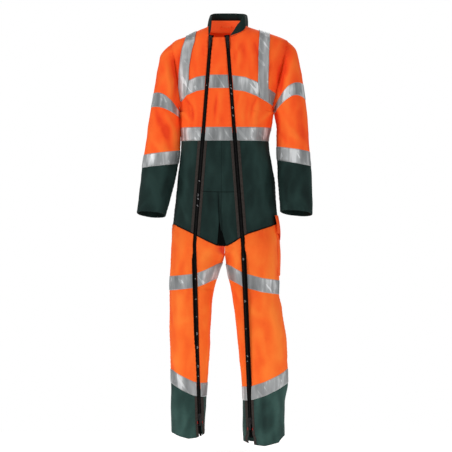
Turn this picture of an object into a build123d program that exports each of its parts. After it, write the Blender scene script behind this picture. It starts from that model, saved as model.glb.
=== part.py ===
from build123d import *
import os
from math import acos, cos, sin, radians, pi, sqrt, hypot, atan2

os.makedirs("parts", exist_ok=True)

# ---------------------------------------------------------------------------
# High-visibility coverall with two full-length zips, standing in its worn shape.
# Frame: millimetres, +Z up, the front of the garment faces -Y, the wearer's right
# side is -X.  The origin is in the gap of the hanger loop inside the back neck.
# ---------------------------------------------------------------------------
WALL = 2.4            # cloth with its seams and lining
TAPE_LIFT = 1.0       # clearance between the cloth and the tape sewn on it
TAPE_T = 0.9          # reflective tape thickness
TAPE_W = 50.0         # reflective tape width
SLOT = 7.0            # half of the gap between the cloth edges along a zip
TEETH_GAP = 0.6       # half of the gap between the two rows of teeth
TEETH_W = 2.8         # one row of teeth
TEETH_T = 3.0
YC = -55.0            # depth of the side seams
SEAM = 0.15           # half of the gap left at a seam
TWIST = 75.0          # length of zip on each side of the hip that turns

# zip centre lines: (x, y, z) of the top, the bend at the hip and the lower end
ZIP_TOP = {"right": (-57.5, -153.0, -41.0), "left": (2.0, -155.0, -41.0)}
ZIP_BEND = {"right": (-117.0, -176.0, -807.0), "left": (59.5, -187.0, -807.0)}
ZIP_END = {"right": (-99.0, -112.0, -1455.0), "left": (87.5, -114.0, -1470.0)}
ZIP_TILT = {("right", 0): -14.0, ("left", 0): 3.5, ("right", 1): 24.0, ("left", 1): -24.0}
SIDES = ("right", "left")

# sections: z, right side x, left side x, front y at the centre, back y
TORSO = [
    (-4.0, -80, 78, -135, 15),
    (-8.0, -86, 84, -137, 18),
    (-18.0, -118, 128, -143, 24),
    (-30.0, -142, 166, -150, 32),
    (-44.0, -172, 204, -155, 40),
    (-64.0, -208, 226, -156, 48),
    (-100.0, -224, 232, -158, 56),
    (-160.0, -214, 222, -160, 62),
    (-230.0, -196, 202, -163, 64),
    (-315.0, -172, 176, -167, 58),
    (-370.0, -168, 166, -169, 48),
    (-422.0, -166, 156, -172, 42),
    (-500.0, -172, 166, -175, 52),
    (-590.0, -182, 179, -179, 62),
    (-690.0, -192, 186, -183, 66),
    (-765.0, -198, 188, -186, 62),
    (-830.0, -204, 195, -183, 54),
]
LEG_R = [
    (-700.0, -196, 0, -180, 60),
    (-807.0, -203, 6, -179, 52),
    (-850.0, -206, -8, -171, 46),
    (-905.0, -208, -27, -164, 40),
    (-975.0, -210, -47, -157, 34),
    (-1050.0, -211, -56, -150, 30),
    (-1175.0, -208, -62, -140, 28),
    (-1310.0, -206, -70, -133, 30),
    (-1400.0, -206, -77, -130, 32),
    (-1508.0, -203, -82, -128, 34),
]
LEG_L = [
    (-700.0, -14, 189, -184, 60),
    (-807.0, -20, 191, -187, 52),
    (-850.0, -5, 193, -178, 46),
    (-905.0, 5, 193.5, -169, 40),
    (-975.0, 18, 194, -160, 34),
    (-1050.0, 31, 204, -152, 30),
    (-1175.0, 44, 222, -142, 28),
    (-1310.0, 56, 226, -134, 30),
    (-1400.0, 62, 214, -131, 32),
    (-1530.0, 62, 214, -128, 34),
]
ROWS = {"torso": TORSO, "leg_right": LEG_R, "leg_left": LEG_L}
# sleeve sections: outer x, z, inner x, z, half depth, y of the centre
SLEEVE = {
    "right": [
        (-208, -60, -166, -298, 66, -55),
        (-240, -105, -174, -316, 76, -56),
        (-260, -192, -182, -333, 82, -57),
        (-272, -275, -187, -352, 82, -58),
        (-288, -362, -186, -390, 78, -62),
        (-301, -455, -181, -455, 73, -70),
        (-313, -550, -190, -546, 67, -84),
        (-321, -625, -204, -628, 62, -97),
        (-331, -694, -224, -706, 58, -112),
    ],
    "left": [
        (216, -58, 171, -298, 66, -55),
        (252, -95, 179, -316, 76, -56),
        (271, -162, 186, -333, 82, -57),
        (286, -245, 190, -352, 82, -58),
        (300, -358, 188, -390, 78, -62),
        (307, -455, 185, -455, 73, -70),
        (313, -548, 189, -548, 67, -84),
        (315, -625, 192, -625, 62, -97),
        (316, -700, 198, -690, 58, -112),
    ],
}


def lerp(a, b, t):
    return a + (b - a) * t


def zip_at(side, z):
    """Point of the zip centre line at a height, continued straight past its ends."""
    p, q = (ZIP_TOP, ZIP_BEND) if z >= ZIP_BEND[side][2] else (ZIP_BEND, ZIP_END)
    t = (z - p[side][2]) / (q[side][2] - p[side][2])
    return lerp(p[side][0], q[side][0], t), lerp(p[side][1], q[side][1], t)


def tilt_at(side, z):
    t = min(max((ZIP_BEND[side][2] + TWIST - z) / (2 * TWIST), 0), 1)
    return lerp(ZIP_TILT[(side, 0)], ZIP_TILT[(side, 1)], t)


def superness(u, target):
    """Exponent n for which (1 - u^n)^(1/n) is the target, kept in a sane range."""
    lo, hi = 1.8, 4.5
    for _ in range(40):
        n = (lo + hi) / 2
        if (1 - u ** n) ** (1 / n) < target:
            lo = n
        else:
            hi = n
    return (lo + hi) / 2


def section(limb, z):
    """Interpolated section: centre, half widths and exponents of the four quarters."""
    rows = ROWS[limb]
    i = 0
    while i < len(rows) - 2 and z < rows[i + 1][0]:
        i += 1
    t = (z - rows[i][0]) / (rows[i + 1][0] - rows[i][0])
    xl, xr, yf, yb = (lerp(rows[i][k], rows[i + 1][k], t) for k in (1, 2, 3, 4))
    if limb == "torso":
        xc, yc, nr = 0.0, YC, 2.5
        zx, zy = zip_at("right", min(z, -41))
        nl = superness(abs(zx) / -xl, min((YC - zy) / (YC - yf), 0.995)) if z < -60 else 2.5
        nl = min(max(nl, 2.1), 3.0)
    else:
        side = limb[4:]
        xc, yc, nl, nr = (xl + xr) / 2, (yf + yb) / 2, 2.3, 2.3
        zx, zy = zip_at(side, z)
        u = abs(zx - xc) / ((xr - xl) / 2)
        n = superness(u, min((yc - zy) / (yc - yf), 0.995)) if u > 0.2 else 2.3
        w = min(max((-z - 815) / 60, 0), 1)
        n = lerp(2.3, min(max(n, 1.9), 3.2), w)
        nl, nr = (2.3, n) if side == "right" else (n, 2.3)
    return xl, xr, yf, yb, xc, yc, nl, nr


def at(limb, t, z):
    """Point on a section: t = 0 left side, 0.25 back, 0.5 right side, 0.75 front."""
    xl, xr, yf, yb, xc, yc, nl, nr = section(limb, z)
    c, s = cos(2 * pi * t), sin(2 * pi * t)
    if s > 0:
        n, b = 2.4, yb - yc
    else:
        n, b = (nr if c > 0 else nl), yc - yf
    a = xr - xc if c > 0 else xc - xl
    return (xc + (1 if c > 0 else -1) * a * abs(c) ** (2 / n),
            yc + (1 if s > 0 else -1) * b * abs(s) ** (2 / n))


def t_of_x(limb, x, z, where):
    """Station of a section with a given x, on its front or its back."""
    xl, xr, yf, yb, xc, yc, nl, nr = section(limb, z)
    a = xr - xc if x > xc else xc - xl
    n = 2.4 if where == "back" else (nr if x > xc else nl)
    c = min(abs(x - xc) / a, 1.0) ** (n / 2)
    ang = acos(c if x > xc else -c) / (2 * pi)
    return ang if where == "back" else 1 - ang


def t_of_y(limb, y, z, right):
    """Station of a front quarter with a given y."""
    xl, xr, yf, yb, xc, yc, nl, nr = section(limb, z)
    s = min(abs(y - yc) / (yc - yf), 1.0) ** ((nl if right else nr) / 2)
    a = acos(sqrt(max(1 - s * s, 0))) / (2 * pi)
    return 0.5 + a if right else 1 - a


def ribbon(limb, top, low, t0, t1, off0, off1, extra=(), count=11):
    """
    Piece of cloth on a limb between two seams t0(z) and t1(z) and two edges.  An edge is a
    height, or (z, x, slope) for an edge that slopes in the front view.
    """
    def height(edge, x):
        return edge if isinstance(edge, (int, float)) else edge[0] + edge[2] * (x - edge[1])

    def trace(edge):
        pts, z = [], height(edge, 0) if isinstance(edge, (int, float)) else edge[0]
        for i in range(count):
            for _ in range(25):
                x, y = at(limb, lerp(t0(z), t1(z), i / (count - 1)), z)
                z = height(edge, x)
            pts.append((x, y, z))
        return pts

    first, last = trace(top), trace(low)
    z_hi, z_lo = min(p[2] for p in first) - 4, max(p[2] for p in last) + 4
    levels = sorted({r[0] for r in ROWS[limb] if z_lo < r[0] < z_hi} | {e for e in extra if z_lo < e < z_hi},
                    reverse=True)
    edges = [top] + levels + [low]
    with BuildPart() as made:
        for edge in edges:
            pts = trace(edge)
            m = 0.0 if isinstance(edge, (int, float)) else edge[2]
            k = sqrt(1 + m * m)
            flat = [(p[0] * k, p[1]) for p in pts]
            normals = []
            for i, p in enumerate(pts):
                t = lerp(t0(p[2]), t1(p[2]), i / (count - 1))
                a, b = at(limb, t - 0.004, p[2]), at(limb, t + 0.004, p[2])
                dx, dy = (b[0] - a[0]) * k, b[1] - a[1]
                length = hypot(dx, dy)
                normals.append((dy / length, -dx / length))
            rims = []
            for off in (off0, off1):
                rims.append([(p[0] + n[0] * off, p[1] + n[1] * off) for p, n in zip(flat, normals)])
            z0 = height(edge, 0)
            with BuildSketch(Plane(origin=(0, 0, z0), x_dir=(1, 0, m), z_dir=(-m, 0, 1))):
                with BuildLine():
                    Spline(*rims[0])
                    Line(rims[0][-1], rims[1][-1])
                    Spline(*rims[1][::-1])
                    Line(rims[1][0], rims[0][0])
                make_face()
        loft(ruled=True)
    return made.part


def sleeve_ribbon(side, w0, w1, t0, t1, off0, off1, count=20):
    """
    Piece of sleeve between two stations; t = 0 is the outer side, 0.5 the underarm seam.
    A station is a number, or (outer, inner) for an edge that slopes.
    """
    rows = SLEEVE[side]

    def row(w):
        i = min(int(w), len(rows) - 2)
        return [lerp(p, q, w - i) for p, q in zip(rows[i], rows[i + 1])]

    if isinstance(w0, tuple):
        stops = [w0, tuple(lerp(a, b, 0.5) for a, b in zip(w0, w1)), w1]
    else:
        stops = [w0] + [i for i in range(len(rows)) if w0 + 0.05 < i < w1 - 0.05] + [w1]
    with BuildPart() as made:
        for j in range(len(stops) - 1):
            for w in stops[j:j + 2]:
                outer, inner = (row(w[0]), row(w[1])) if isinstance(w, tuple) else (row(w), row(w))
                ox, oz, ix, iz = outer[0], outer[1], inner[2], inner[3]
                b, y = (outer[4] + inner[4]) / 2, (outer[5] + inner[5]) / 2
                out = Vector(ox - ix, 0, oz - iz)
                half = out.length / 2
                out = out.normalized()
                rims = [[], []]
                for k in range(count):
                    trio = []
                    for da in (0, -0.02, 0.02):
                        a = 2 * pi * lerp(t0, t1, k / (count - 1)) + da
                        c, s = cos(a), sin(a)
                        trio.append((half * (1 if c > 0 else -1) * abs(c) ** (2 / 2.2),
                                     b * (1 if s > 0 else -1) * abs(s) ** (2 / 2.2)))
                    dx, dy = trio[2][0] - trio[1][0], trio[2][1] - trio[1][1]
                    length = hypot(dx, dy)
                    for rim, off in zip(rims, (off0, off1)):
                        rim.append((trio[0][0] + dy / length * off, trio[0][1] - dx / length * off))
                plane = Plane(origin=((ox + ix) / 2, y, (oz + iz) / 2), x_dir=out,
                              z_dir=out.cross(Vector(0, 1, 0)))
                with BuildSketch(plane):
                    with BuildLine():
                        Spline(*rims[0])
                        Line(rims[0][-1], rims[1][-1])
                        Spline(*rims[1][::-1])
                        Line(rims[1][0], rims[0][0])
                    make_face()
            loft(ruled=True)
    return made.part


def quads(corners):
    """Loft through four-sided sections, each given as four points in one plane."""
    with BuildPart() as made:
        for j in range(len(corners) - 1):
            for quad in corners[j:j + 2]:
                a, b, c, d = (Vector(*p) for p in quad)
                x_dir = (b - a).normalized()
                normal = x_dir.cross(d - a).normalized()
                plane = Plane(origin=a, x_dir=x_dir, z_dir=normal)
                with BuildSketch(plane):
                    Polygon(*[(plane.to_local_coords(p).X, plane.to_local_coords(p).Y) for p in (a, b, c, d)],
                            align=None)
            loft(ruled=True)
    return made.part


def stations(side):
    top, bend, end = (Vector(*p[side]) for p in (ZIP_TOP, ZIP_BEND, ZIP_END))
    up_dir = (bend - top).normalized()
    low_dir = (end - bend).normalized()

    def normal(direction, tilt):
        n = Vector(sin(radians(tilt)), -cos(radians(tilt)), 0)
        return (n - direction * n.dot(direction)).normalized()

    n_up = normal(up_dir, ZIP_TILT[(side, 0)])
    n_low = normal(low_dir, ZIP_TILT[(side, 1)])
    mid = (up_dir + low_dir).normalized()
    n_mid = normal(mid, (ZIP_TILT[(side, 0)] + ZIP_TILT[(side, 1)]) / 2)
    return [(top, up_dir, n_up), (bend - up_dir * TWIST, up_dir, n_up), (bend, mid, n_mid),
            (bend + low_dir * TWIST, low_dir, n_low), (end, low_dir, n_low)]


def zip_strip(side, l0, l1, n0, n1):
    """Strip along a zip: lateral range l0..l1 (towards +X), depth range n0..n1 (outwards)."""
    corners = []
    for p, d, n in stations(side):
        lateral = n.cross(d)
        if lateral.X < 0:
            lateral = -lateral
        corners.append([tuple(p + lateral * l + n * h) for l, h in ((l0, n0), (l1, n0), (l1, n1), (l0, n1))])
    return quads(corners)


def save(name, shape):
    with BuildPart() as made:
        add(shape)
    made.part.label = name
    export_step(made.part, f"parts/{name}.step")
    print(name, len(made.part.solids()), made.part.is_valid, round(made.part.volume / 1000, 1), flush=True)


# ---------------------------------------------------------------------------
# seam lines, as stations of the sections
# ---------------------------------------------------------------------------
ARM_TOP = {"right": (-208, -60), "left": (216, -58)}
ARM_LOW = {"right": (-162.4, -318), "left": (167.2, -318)}
# neck edge of the two front panels: height, then x
NECK_X = {"right": [(-41, -64), (-30, -68), (-20, -71), (-12, -73), (-7, -75), (-4, -79)],
          "left": [(-41, 8), (-32, 12), (-28, 20), (-22, 46), (-16, 65), (-10, 72), (-6.5, 75), (-4, 77)]}


def zip_edge(limb, side, towards, gap=SLOT):
    """Cloth edge beside a zip; towards is +1 for the edge on its +X side."""
    def t(z):
        wide = gap + (5.0 * max(0.0, (-1470 - z) / 45) if z < -1470 else 0.0)
        if limb != "torso":
            wide += 1.0
        return t_of_x(limb, zip_at(side, z)[0] + towards * wide * cos(radians(tilt_at(side, z))), z, "front")
    return t


def armhole(side, where, gap=0.4):
    def t(z):
        sign = 1 if side == "right" else -1
        if z > ARM_TOP[side][1] or z < ARM_LOW[side][1]:
            base = 0.5 if side == "right" else (1.0 if where == "front" else 0.0)
            step = 0.0003
            return base + step * ((1 if side == "right" else -1) if where == "front" else (-1 if side == "right" else 1))
        k = (z - ARM_TOP[side][1]) / (ARM_LOW[side][1] - ARM_TOP[side][1])
        x = lerp(ARM_TOP[side][0], ARM_LOW[side][0], k) + sign * gap
        edge = section("torso", z)[0 if side == "right" else 1]
        x = max(x, edge + 0.5) if side == "right" else min(x, edge - 0.5)
        return t_of_x("torso", x, z, where)
    return t


def neck_line(side, z):
    marks = NECK_X[side]
    for (za, xa), (zb, xb) in zip(marks, marks[1:]):
        if z <= zb:
            return lerp(xa, xb, (z - za) / (zb - za))
    return marks[-1][1]


def chest_inner(side):
    def t(z):
        if z <= -41:
            return zip_edge("torso", side, -1 if side == "right" else 1)(z)
        return t_of_x("torso", neck_line(side, z), z, "front")
    return t


def x_line(limb, x, where="front"):
    return lambda z: t_of_x(limb, x, z, where)


WAIST = -400.0
ARM_ROWS = (-58.5, -60.5, -317.5, -318.5, -48, -52)
FIT_ROWS = (-41, -120, -200, -460, -540, -640)
# hip seam: (z, x, slope) on the right, on the left
V_R = (-738.0, -189.0, -0.475)
V_L = (-735.0, 181.0, 0.40)
SPLIT_X = -17.0       # centre front seam of the hip panels


V_RC = (-811.0, -36.0, -0.42)
V_LC = (-812.0, 1.5, 0.60)
BACK_SEAM = -745.0
SHIN = {"right": (-1327.0, -103.0, -0.35), "left": (-1342.0, 85.0, 0.35)}
HEM = {"right": -1508.0, "left": -1530.0}
EDGE = 0.0003


def drop(edge, dz):
    return edge + dz if isinstance(edge, (int, float)) else (edge[0] + dz, edge[1], edge[2])


def inner_edge(side, where):
    """Crotch seam of a leg above the crotch, its inseam below."""
    def t(z):
        limb = "leg_" + side
        sec = section(limb, z)
        if side == "right":
            x = min(-9.0, sec[1])
            k = t_of_x(limb, x, z, where)
            return min(k, 1 - EDGE) if where == "front" else max(k, EDGE)
        x = max(-4.0, sec[0])
        k = t_of_x(limb, x, z, where)
        return max(k, 0.5 + EDGE) if where == "front" else min(k, 0.5 - EDGE)
    return t


def fixed(t):
    return lambda z: t


# --- chest and back --------------------------------------------------------
LOW = WAIST + SEAM
save("chest_front_right", ribbon("torso", -5.0, LOW, armhole("right", "front"), chest_inner("right"), -WALL, 0,
                                 ARM_ROWS + FIT_ROWS))
save("chest_front_centre", ribbon("torso", -41.0, LOW, zip_edge("torso", "right", 1), zip_edge("torso", "left", -1),
                                  -WALL, 0, FIT_ROWS))
save("chest_front_left", ribbon("torso", -5.0, LOW, chest_inner("left"), armhole("left", "front"), -WALL, 0,
                                ARM_ROWS + FIT_ROWS))
save("back_upper", ribbon("torso", -5.0, LOW, armhole("left", "back"), armhole("right", "back"), -WALL, 0,
                          ARM_ROWS + FIT_ROWS, count=17))

# --- hip -------------------------------------------------------------------
TOP = WAIST - SEAM
save("hip_front_right", ribbon("torso", TOP, drop(V_R, SEAM), fixed(0.5 + EDGE), zip_edge("torso", "right", -1),
                               -WALL, 0, FIT_ROWS))
save("hip_front_centre_right", ribbon("torso", TOP, drop(V_RC, SEAM), zip_edge("torso", "right", 1),
                                      x_line("torso", SPLIT_X - SEAM), -WALL, 0, FIT_ROWS))
save("hip_front_centre_left", ribbon("torso", TOP, drop(V_LC, SEAM), x_line("torso", SPLIT_X + SEAM),
                                     zip_edge("torso", "left", -1), -WALL, 0, FIT_ROWS))
save("hip_front_left", ribbon("torso", TOP, drop(V_L, SEAM), zip_edge("torso", "left", 1), fixed(1 - EDGE),
                              -WALL, 0, FIT_ROWS))
save("hip_back", ribbon("torso", TOP, BACK_SEAM + SEAM, fixed(EDGE), fixed(0.5 - EDGE), -WALL, 0, FIT_ROWS, count=17))

# --- legs ------------------------------------------------------------------
CROTCH = (-762, -785, -806, -828, -838, -866, -880, -1090, -1130, -1240, -1440, -1470, -1490)
save("leg_front_outer_right", ribbon("leg_right", drop(V_R, -SEAM), drop(SHIN["right"], SEAM), fixed(0.5 + EDGE),
                                     zip_edge("leg_right", "right", -1), -WALL, 0, CROTCH))
save("leg_front_inner_right", ribbon("leg_right", drop(V_RC, -SEAM), drop(SHIN["right"], SEAM),
                                     zip_edge("leg_right", "right", 1), inner_edge("right", "front"), -WALL, 0, CROTCH))
save("leg_back_right", ribbon("leg_right", BACK_SEAM - SEAM, drop(SHIN["right"], SEAM), inner_edge("right", "back"),
                              fixed(0.5 - EDGE), -WALL, 0, CROTCH, count=15))
save("leg_front_outer_left", ribbon("leg_left", drop(V_L, -SEAM), drop(SHIN["left"], SEAM),
                                    zip_edge("leg_left", "left", 1), fixed(1 - EDGE), -WALL, 0, CROTCH))
save("leg_front_inner_left", ribbon("leg_left", drop(V_LC, -SEAM), drop(SHIN["left"], SEAM),
                                    inner_edge("left", "front"), zip_edge("leg_left", "left", -1), -WALL, 0, CROTCH))
save("leg_back_left", ribbon("leg_left", BACK_SEAM - SEAM, drop(SHIN["left"], SEAM), fixed(EDGE),
                             inner_edge("left", "back"), -WALL, 0, CROTCH, count=15))
for side in SIDES:
    limb = "leg_" + side
    around = (zip_edge(limb, side, 1), lambda z, limb=limb, side=side: 1 + zip_edge(limb, side, -1)(z))
    save("shin_" + side, ribbon(limb, drop(SHIN[side], -SEAM), HEM[side], *around, -WALL, 0, CROTCH, count=30))

# --- sleeves ---------------------------------------------------------------
CUFF_SEAM = {"right": 5.5, "left": 5.4}
for side in SIDES:
    save("sleeve_upper_" + side, sleeve_ribbon(side, 0, CUFF_SEAM[side] - 0.001, 0.5 + EDGE, 1.5 - EDGE, -WALL, 0))
    save("sleeve_lower_" + side, sleeve_ribbon(side, CUFF_SEAM[side] + 0.001, 8, 0.5 + EDGE, 1.5 - EDGE, -WALL, 0))

# --- reflective tape -------------------------------------------------------
T0, T1 = TAPE_LIFT, TAPE_LIFT + TAPE_T
save("tape_chest_centre", ribbon("torso", -186.0, -186.0 - TAPE_W, zip_edge("torso", "right", 1, SLOT + 1),
                                 zip_edge("torso", "left", -1, SLOT + 1), T0, T1, FIT_ROWS))
save("tape_chest_right", ribbon("torso", (-188, -66, 0.44), (-238, -66, 0.44), armhole("right", "front", 3.5),
                                zip_edge("torso", "right", -1, SLOT + 1), T0, T1))
save("tape_chest_left", ribbon("torso", (-190, 20, -0.41), (-240, 20, -0.41), zip_edge("torso", "left", 1, SLOT + 1),
                               armhole("left", "front", 3.5), T0, T1))
save("tape_chest_back", ribbon("torso", -225.0, -275.0, armhole("left", "back", 3.5), armhole("right", "back", 3.5), T0, T1,
                               FIT_ROWS, count=17))
save("tape_waist_centre", ribbon("torso", -378.0, -428.0, zip_edge("torso", "right", 1, SLOT + 1),
                                 zip_edge("torso", "left", -1, SLOT + 1), T0, T1, FIT_ROWS))
save("tape_waist_wrap", ribbon("torso", -378.0, -428.0, zip_edge("torso", "left", 1, SLOT + 1),
                               lambda z: 1 + zip_edge("torso", "right", -1, SLOT + 1)(z), T0, T1, FIT_ROWS, count=30))
LEG_TAPE = {("thigh", "right"): (-914.0, -121.0, 0.20), ("thigh", "left"): (-912.0, 58.0, -0.25),
            ("shin", "right"): (-1302.0, -103.0, -0.35), ("shin", "left"): (-1318.0, 85.0, 0.35)}
for (place, side), edge in LEG_TAPE.items():
    limb = "leg_" + side
    around = (zip_edge(limb, side, 1, SLOT + 1), lambda z, limb=limb, side=side: 1 + zip_edge(limb, side, -1, SLOT + 1)(z))
    save(f"tape_{place}_{side}", ribbon(limb, edge, drop(edge, -TAPE_W * 1.04), *around, T0, T1, count=30))
ARM_TAPE = {("arm", "right"): ((2.71, 1.42), (3.32, 2.62)), ("arm", "left"): ((2.61, 1.12), (3.18, 2.15)),
            ("forearm", "right"): ((5.24, 5.09), (5.73, 5.63)), ("forearm", "left"): ((5.12, 4.90), (5.68, 5.47))}
for (place, side), (w0, w1) in ARM_TAPE.items():
    lift = 2.2 if place == "arm" else 0.4
    save(f"tape_{place}_{side}", sleeve_ribbon(side, w0, w1, 0.5 + EDGE, 1.5 - EDGE, T0 + lift, T1 + lift))


def top_of(x, y):
    """Height of the shoulder surface over a point."""
    lo, hi = -300.0, -4.0
    for _ in range(40):
        z = (lo + hi) / 2
        xl, xr, yf, yb, xc, yc, nl, nr = section("torso", z)
        u = abs(x - xc) / (xr - xc if x > xc else xc - xl)
        n = 2.4 if y > yc else (nr if x > xc else nl)
        b = yb - yc if y > yc else yc - yf
        if u ** n + (abs(y - yc) / b) ** n < 1:
            lo = z
        else:
            hi = z
    return (lo + hi) / 2


def y_of(x, z, where):
    return at("torso", t_of_x("torso", x, z, where), z)[1]


BRACE = {"right": [(-217, -157), (-185, -157), (-148, -154), (-115, -149), (-85, -143)],
         "left": [(-226, 132), (-185, 135), (-148, 136), (-115, 136), (-85, 137)]}
BRACE_END = {"right": -222.0, "left": -222.0}
for side in SIDES:
    half = 19.0
    mids = [(x, z, "front") for z, x in BRACE[side]]
    path = [((x - half, y_of(x - half, z, w), z), (x + half, y_of(x + half, z, w), z)) for x, z, w in mids]
    x_top = -128.0 if side == "right" else 138.0
    for z in (-64, -54, -47):
        path.append(((x_top - half, y_of(x_top - half, z, "front"), z), (x_top + half, y_of(x_top + half, z, "front"), z)))
    for y in (-112, -104, -96, -80, -65, -50, -35, -20, -5, 4):
        path.append(((x_top - half, y, top_of(x_top - half, y)), (x_top + half, y, top_of(x_top + half, y))))
    for z in (-47, -54, -64, -80, -100, -130, -160, BRACE_END[side]):
        path.append(((x_top - half, y_of(x_top - half, z, "back"), z), (x_top + half, y_of(x_top + half, z, "back"), z)))
    sections = []
    for i, (p, q) in enumerate(path):
        p0, q0 = (Vector(*v) for v in path[max(i - 1, 0)])
        p1, q1 = (Vector(*v) for v in path[min(i + 1, len(path) - 1)])
        along = (p1 + q1 - p0 - q0).normalized()
        a, b = Vector(*p), Vector(*q)
        across = (b - a).normalized()
        n = across.cross(along).normalized()
        if n.dot((a + b) * 0.5 - Vector(0, YC, -150)) < 0:
            n = -n
        sections.append([tuple(v) for v in (a + n * 4.8, b + n * 4.8, b + n * 5.7, a + n * 5.7)])
    save("tape_brace_" + side, quads(sections))

# --- waist elastic, zip facings -------------------------------------------
save("waist_elastic", ribbon("torso", -384.0, -424.0, fixed(0.06), fixed(0.44), -WALL - 4.0, -WALL - 1.2, FIT_ROWS,
                             count=17))


def facing(side, sign):
    def pair(limb):
        near, far = zip_edge(limb, side, sign, SLOT + 0.6), zip_edge(limb, side, sign, SLOT + 13)
        return (near, far) if sign > 0 else (far, near)
    with BuildPart() as made:
        add(ribbon("torso", -46.0, -730.0, *pair("torso"), -WALL - 2.0, -WALL - 1.0, FIT_ROWS, count=6))
    return made.part


for side in SIDES:
    for sign, word in ((-1, "right"), (1, "left")):
        save(f"zip_facing_{side}_{word}", facing(side, sign))

# --- zips ------------------------------------------------------------------
for side in SIDES:
    a, b = TEETH_GAP, TEETH_GAP + TEETH_W
    with BuildPart() as zip_teeth:
        add(zip_strip(side, a, b, -TEETH_T / 2, TEETH_T / 2))
        add(zip_strip(side, -b, -a, -TEETH_T / 2, TEETH_T / 2))
    save("zip_teeth_" + side, zip_teeth.part)
    with BuildPart() as zip_tape:
        add(zip_strip(side, b, SLOT - 0.4, -0.4, 0.4))
        add(zip_strip(side, -SLOT + 0.4, -b, -0.4, 0.4))
    save("zip_tape_" + side, zip_tape.part)


def slider(plane):
    with BuildPart() as made:
        for level in (1.9, -3.7):
            with BuildSketch(plane.offset(level)):
                RectangleRounded(12.4, 24, 3.0)
            extrude(amount=1.8)
        with BuildSketch(plane.offset(-1.9)):
            Rectangle(0.6, 7)
        extrude(amount=3.8)
        for level in (0.8, -1.9):
            with BuildSketch(plane.offset(level)):
                with Locations((5.7, 0), (-5.7, 0)):
                    Rectangle(1.0, 17)
            extrude(amount=1.1)
        with BuildSketch(plane.offset(3.7)):
            with Locations((0, 3.25), (0, -3.25)):
                Rectangle(2.0, 1.5)
        extrude(amount=3.9)
        with BuildSketch(plane.offset(6.6)):
            Rectangle(2.0, 8.0)
        extrude(amount=1.0)
    return made.part


def pull_tab(plane):
    with BuildPart() as made:
        with BuildSketch(plane.offset(4.35)):
            with Locations((0, -15.7)):
                RectangleRounded(7, 33, 1.2)
            with Locations((0, -3.2)):
                Rectangle(3.0, 4.8, mode=Mode.SUBTRACT)
            with Locations((0, -26.5)):
                SlotOverall(5.5, 2.2, rotation=90, mode=Mode.SUBTRACT)
        extrude(amount=1.5)
    return made.part


for side in SIDES:
    st = stations(side)
    for which, p, d, n in (("top", st[0][0] + st[0][1] * 16, st[0][1], st[0][2]),
                           ("bottom", st[4][0] - st[4][1] * 14, st[4][1], st[4][2])):
        plane = Plane(origin=p, x_dir=n.cross(d), z_dir=n)
        save(f"slider_{which}_{side}", slider(plane))
        save(f"pull_tab_{which}_{side}", pull_tab(plane))
        travel = (st[1][0] - st[0][0]).length - 32 if which == "top" else (st[4][0] - st[3][0]).length - 30
        hinge = p + n * 5.1
        print("JOINT", which, side, "c", [round(v, 5) for v in tuple(p * 0.001)], "d", [round(v, 5) for v in tuple(d)],
              "hinge", [round(v, 5) for v in tuple(hinge * 0.001)], "axis", [round(v, 5) for v in tuple(d.cross(n))],
              "travel", round(travel / 1000, 4))

# --- collar ----------------------------------------------------------------
def neck_point(side, z):
    return (*at("torso", t_of_x("torso", neck_line(side, z), z, "front"), z), float(z))


# height of the top edge above each point of the neckline, from the right front end to the left one
bottom, tops = [], []
for z, top in ((-34, -4), (-27, 8), (-20, 18), (-14, 27), (-9, 36), (-6, 43)):
    bottom.append(neck_point("right", z))
    tops.append(top)
for t in (0.46, 0.42, 0.37, 0.31, 0.25, 0.19, 0.13, 0.08, 0.04):
    bottom.append((*at("torso", t, -4), -4.0))
    tops.append(46)
for z, top in ((-6, 45), (-9, 42), (-13, 37), (-17, 26), (-20, 16), (-23, 3), (-26, -8), (-29, -20)):
    bottom.append(neck_point("left", z))
    tops.append(top)


def collar(o0, o1, cut):
    sections = []
    for i, (x, y, z) in enumerate(bottom):
        a, b = bottom[max(i - 1, 0)], bottom[min(i + 1, len(bottom) - 1)]
        dx, dy = b[0] - a[0], b[1] - a[1]
        length = hypot(dx, dy)
        nx, ny = -dy / length, dx / length
        if nx * x + ny * (y + 60) < 0:
            nx, ny = -nx, -ny
        low = z + 2.0
        high = max(tops[i] - cut, low + 5)
        lean = 13.0 * (high - low) / 50
        sections.append([(x + nx * o0, y + ny * o0, low), (x + nx * o1, y + ny * o1, low),
                         (x + nx * (o1 - lean), y + ny * (o1 - lean), high),
                         (x + nx * (o0 - lean), y + ny * (o0 - lean), high)])
    return quads(sections)


save("collar_outer", collar(-1.8, -0.2, 0))
save("collar_lining", collar(-3.2, -2.2, 24))

# --- hanger loop: the origin is in its gap ---------------------------------
with BuildPart() as hanger_loop:
    with BuildSketch(Plane.XY.offset(-4)):
        Polygon((-20, 7.2), (-16.5, -6), (16.5, -6), (20, 7.2), (18.3, 7.2), (15.2, -4.5), (-15.2, -4.5), (-18.3, 7.2),
                align=None)
    extrude(amount=8)
save("hanger_loop", hanger_loop.part)

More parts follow.
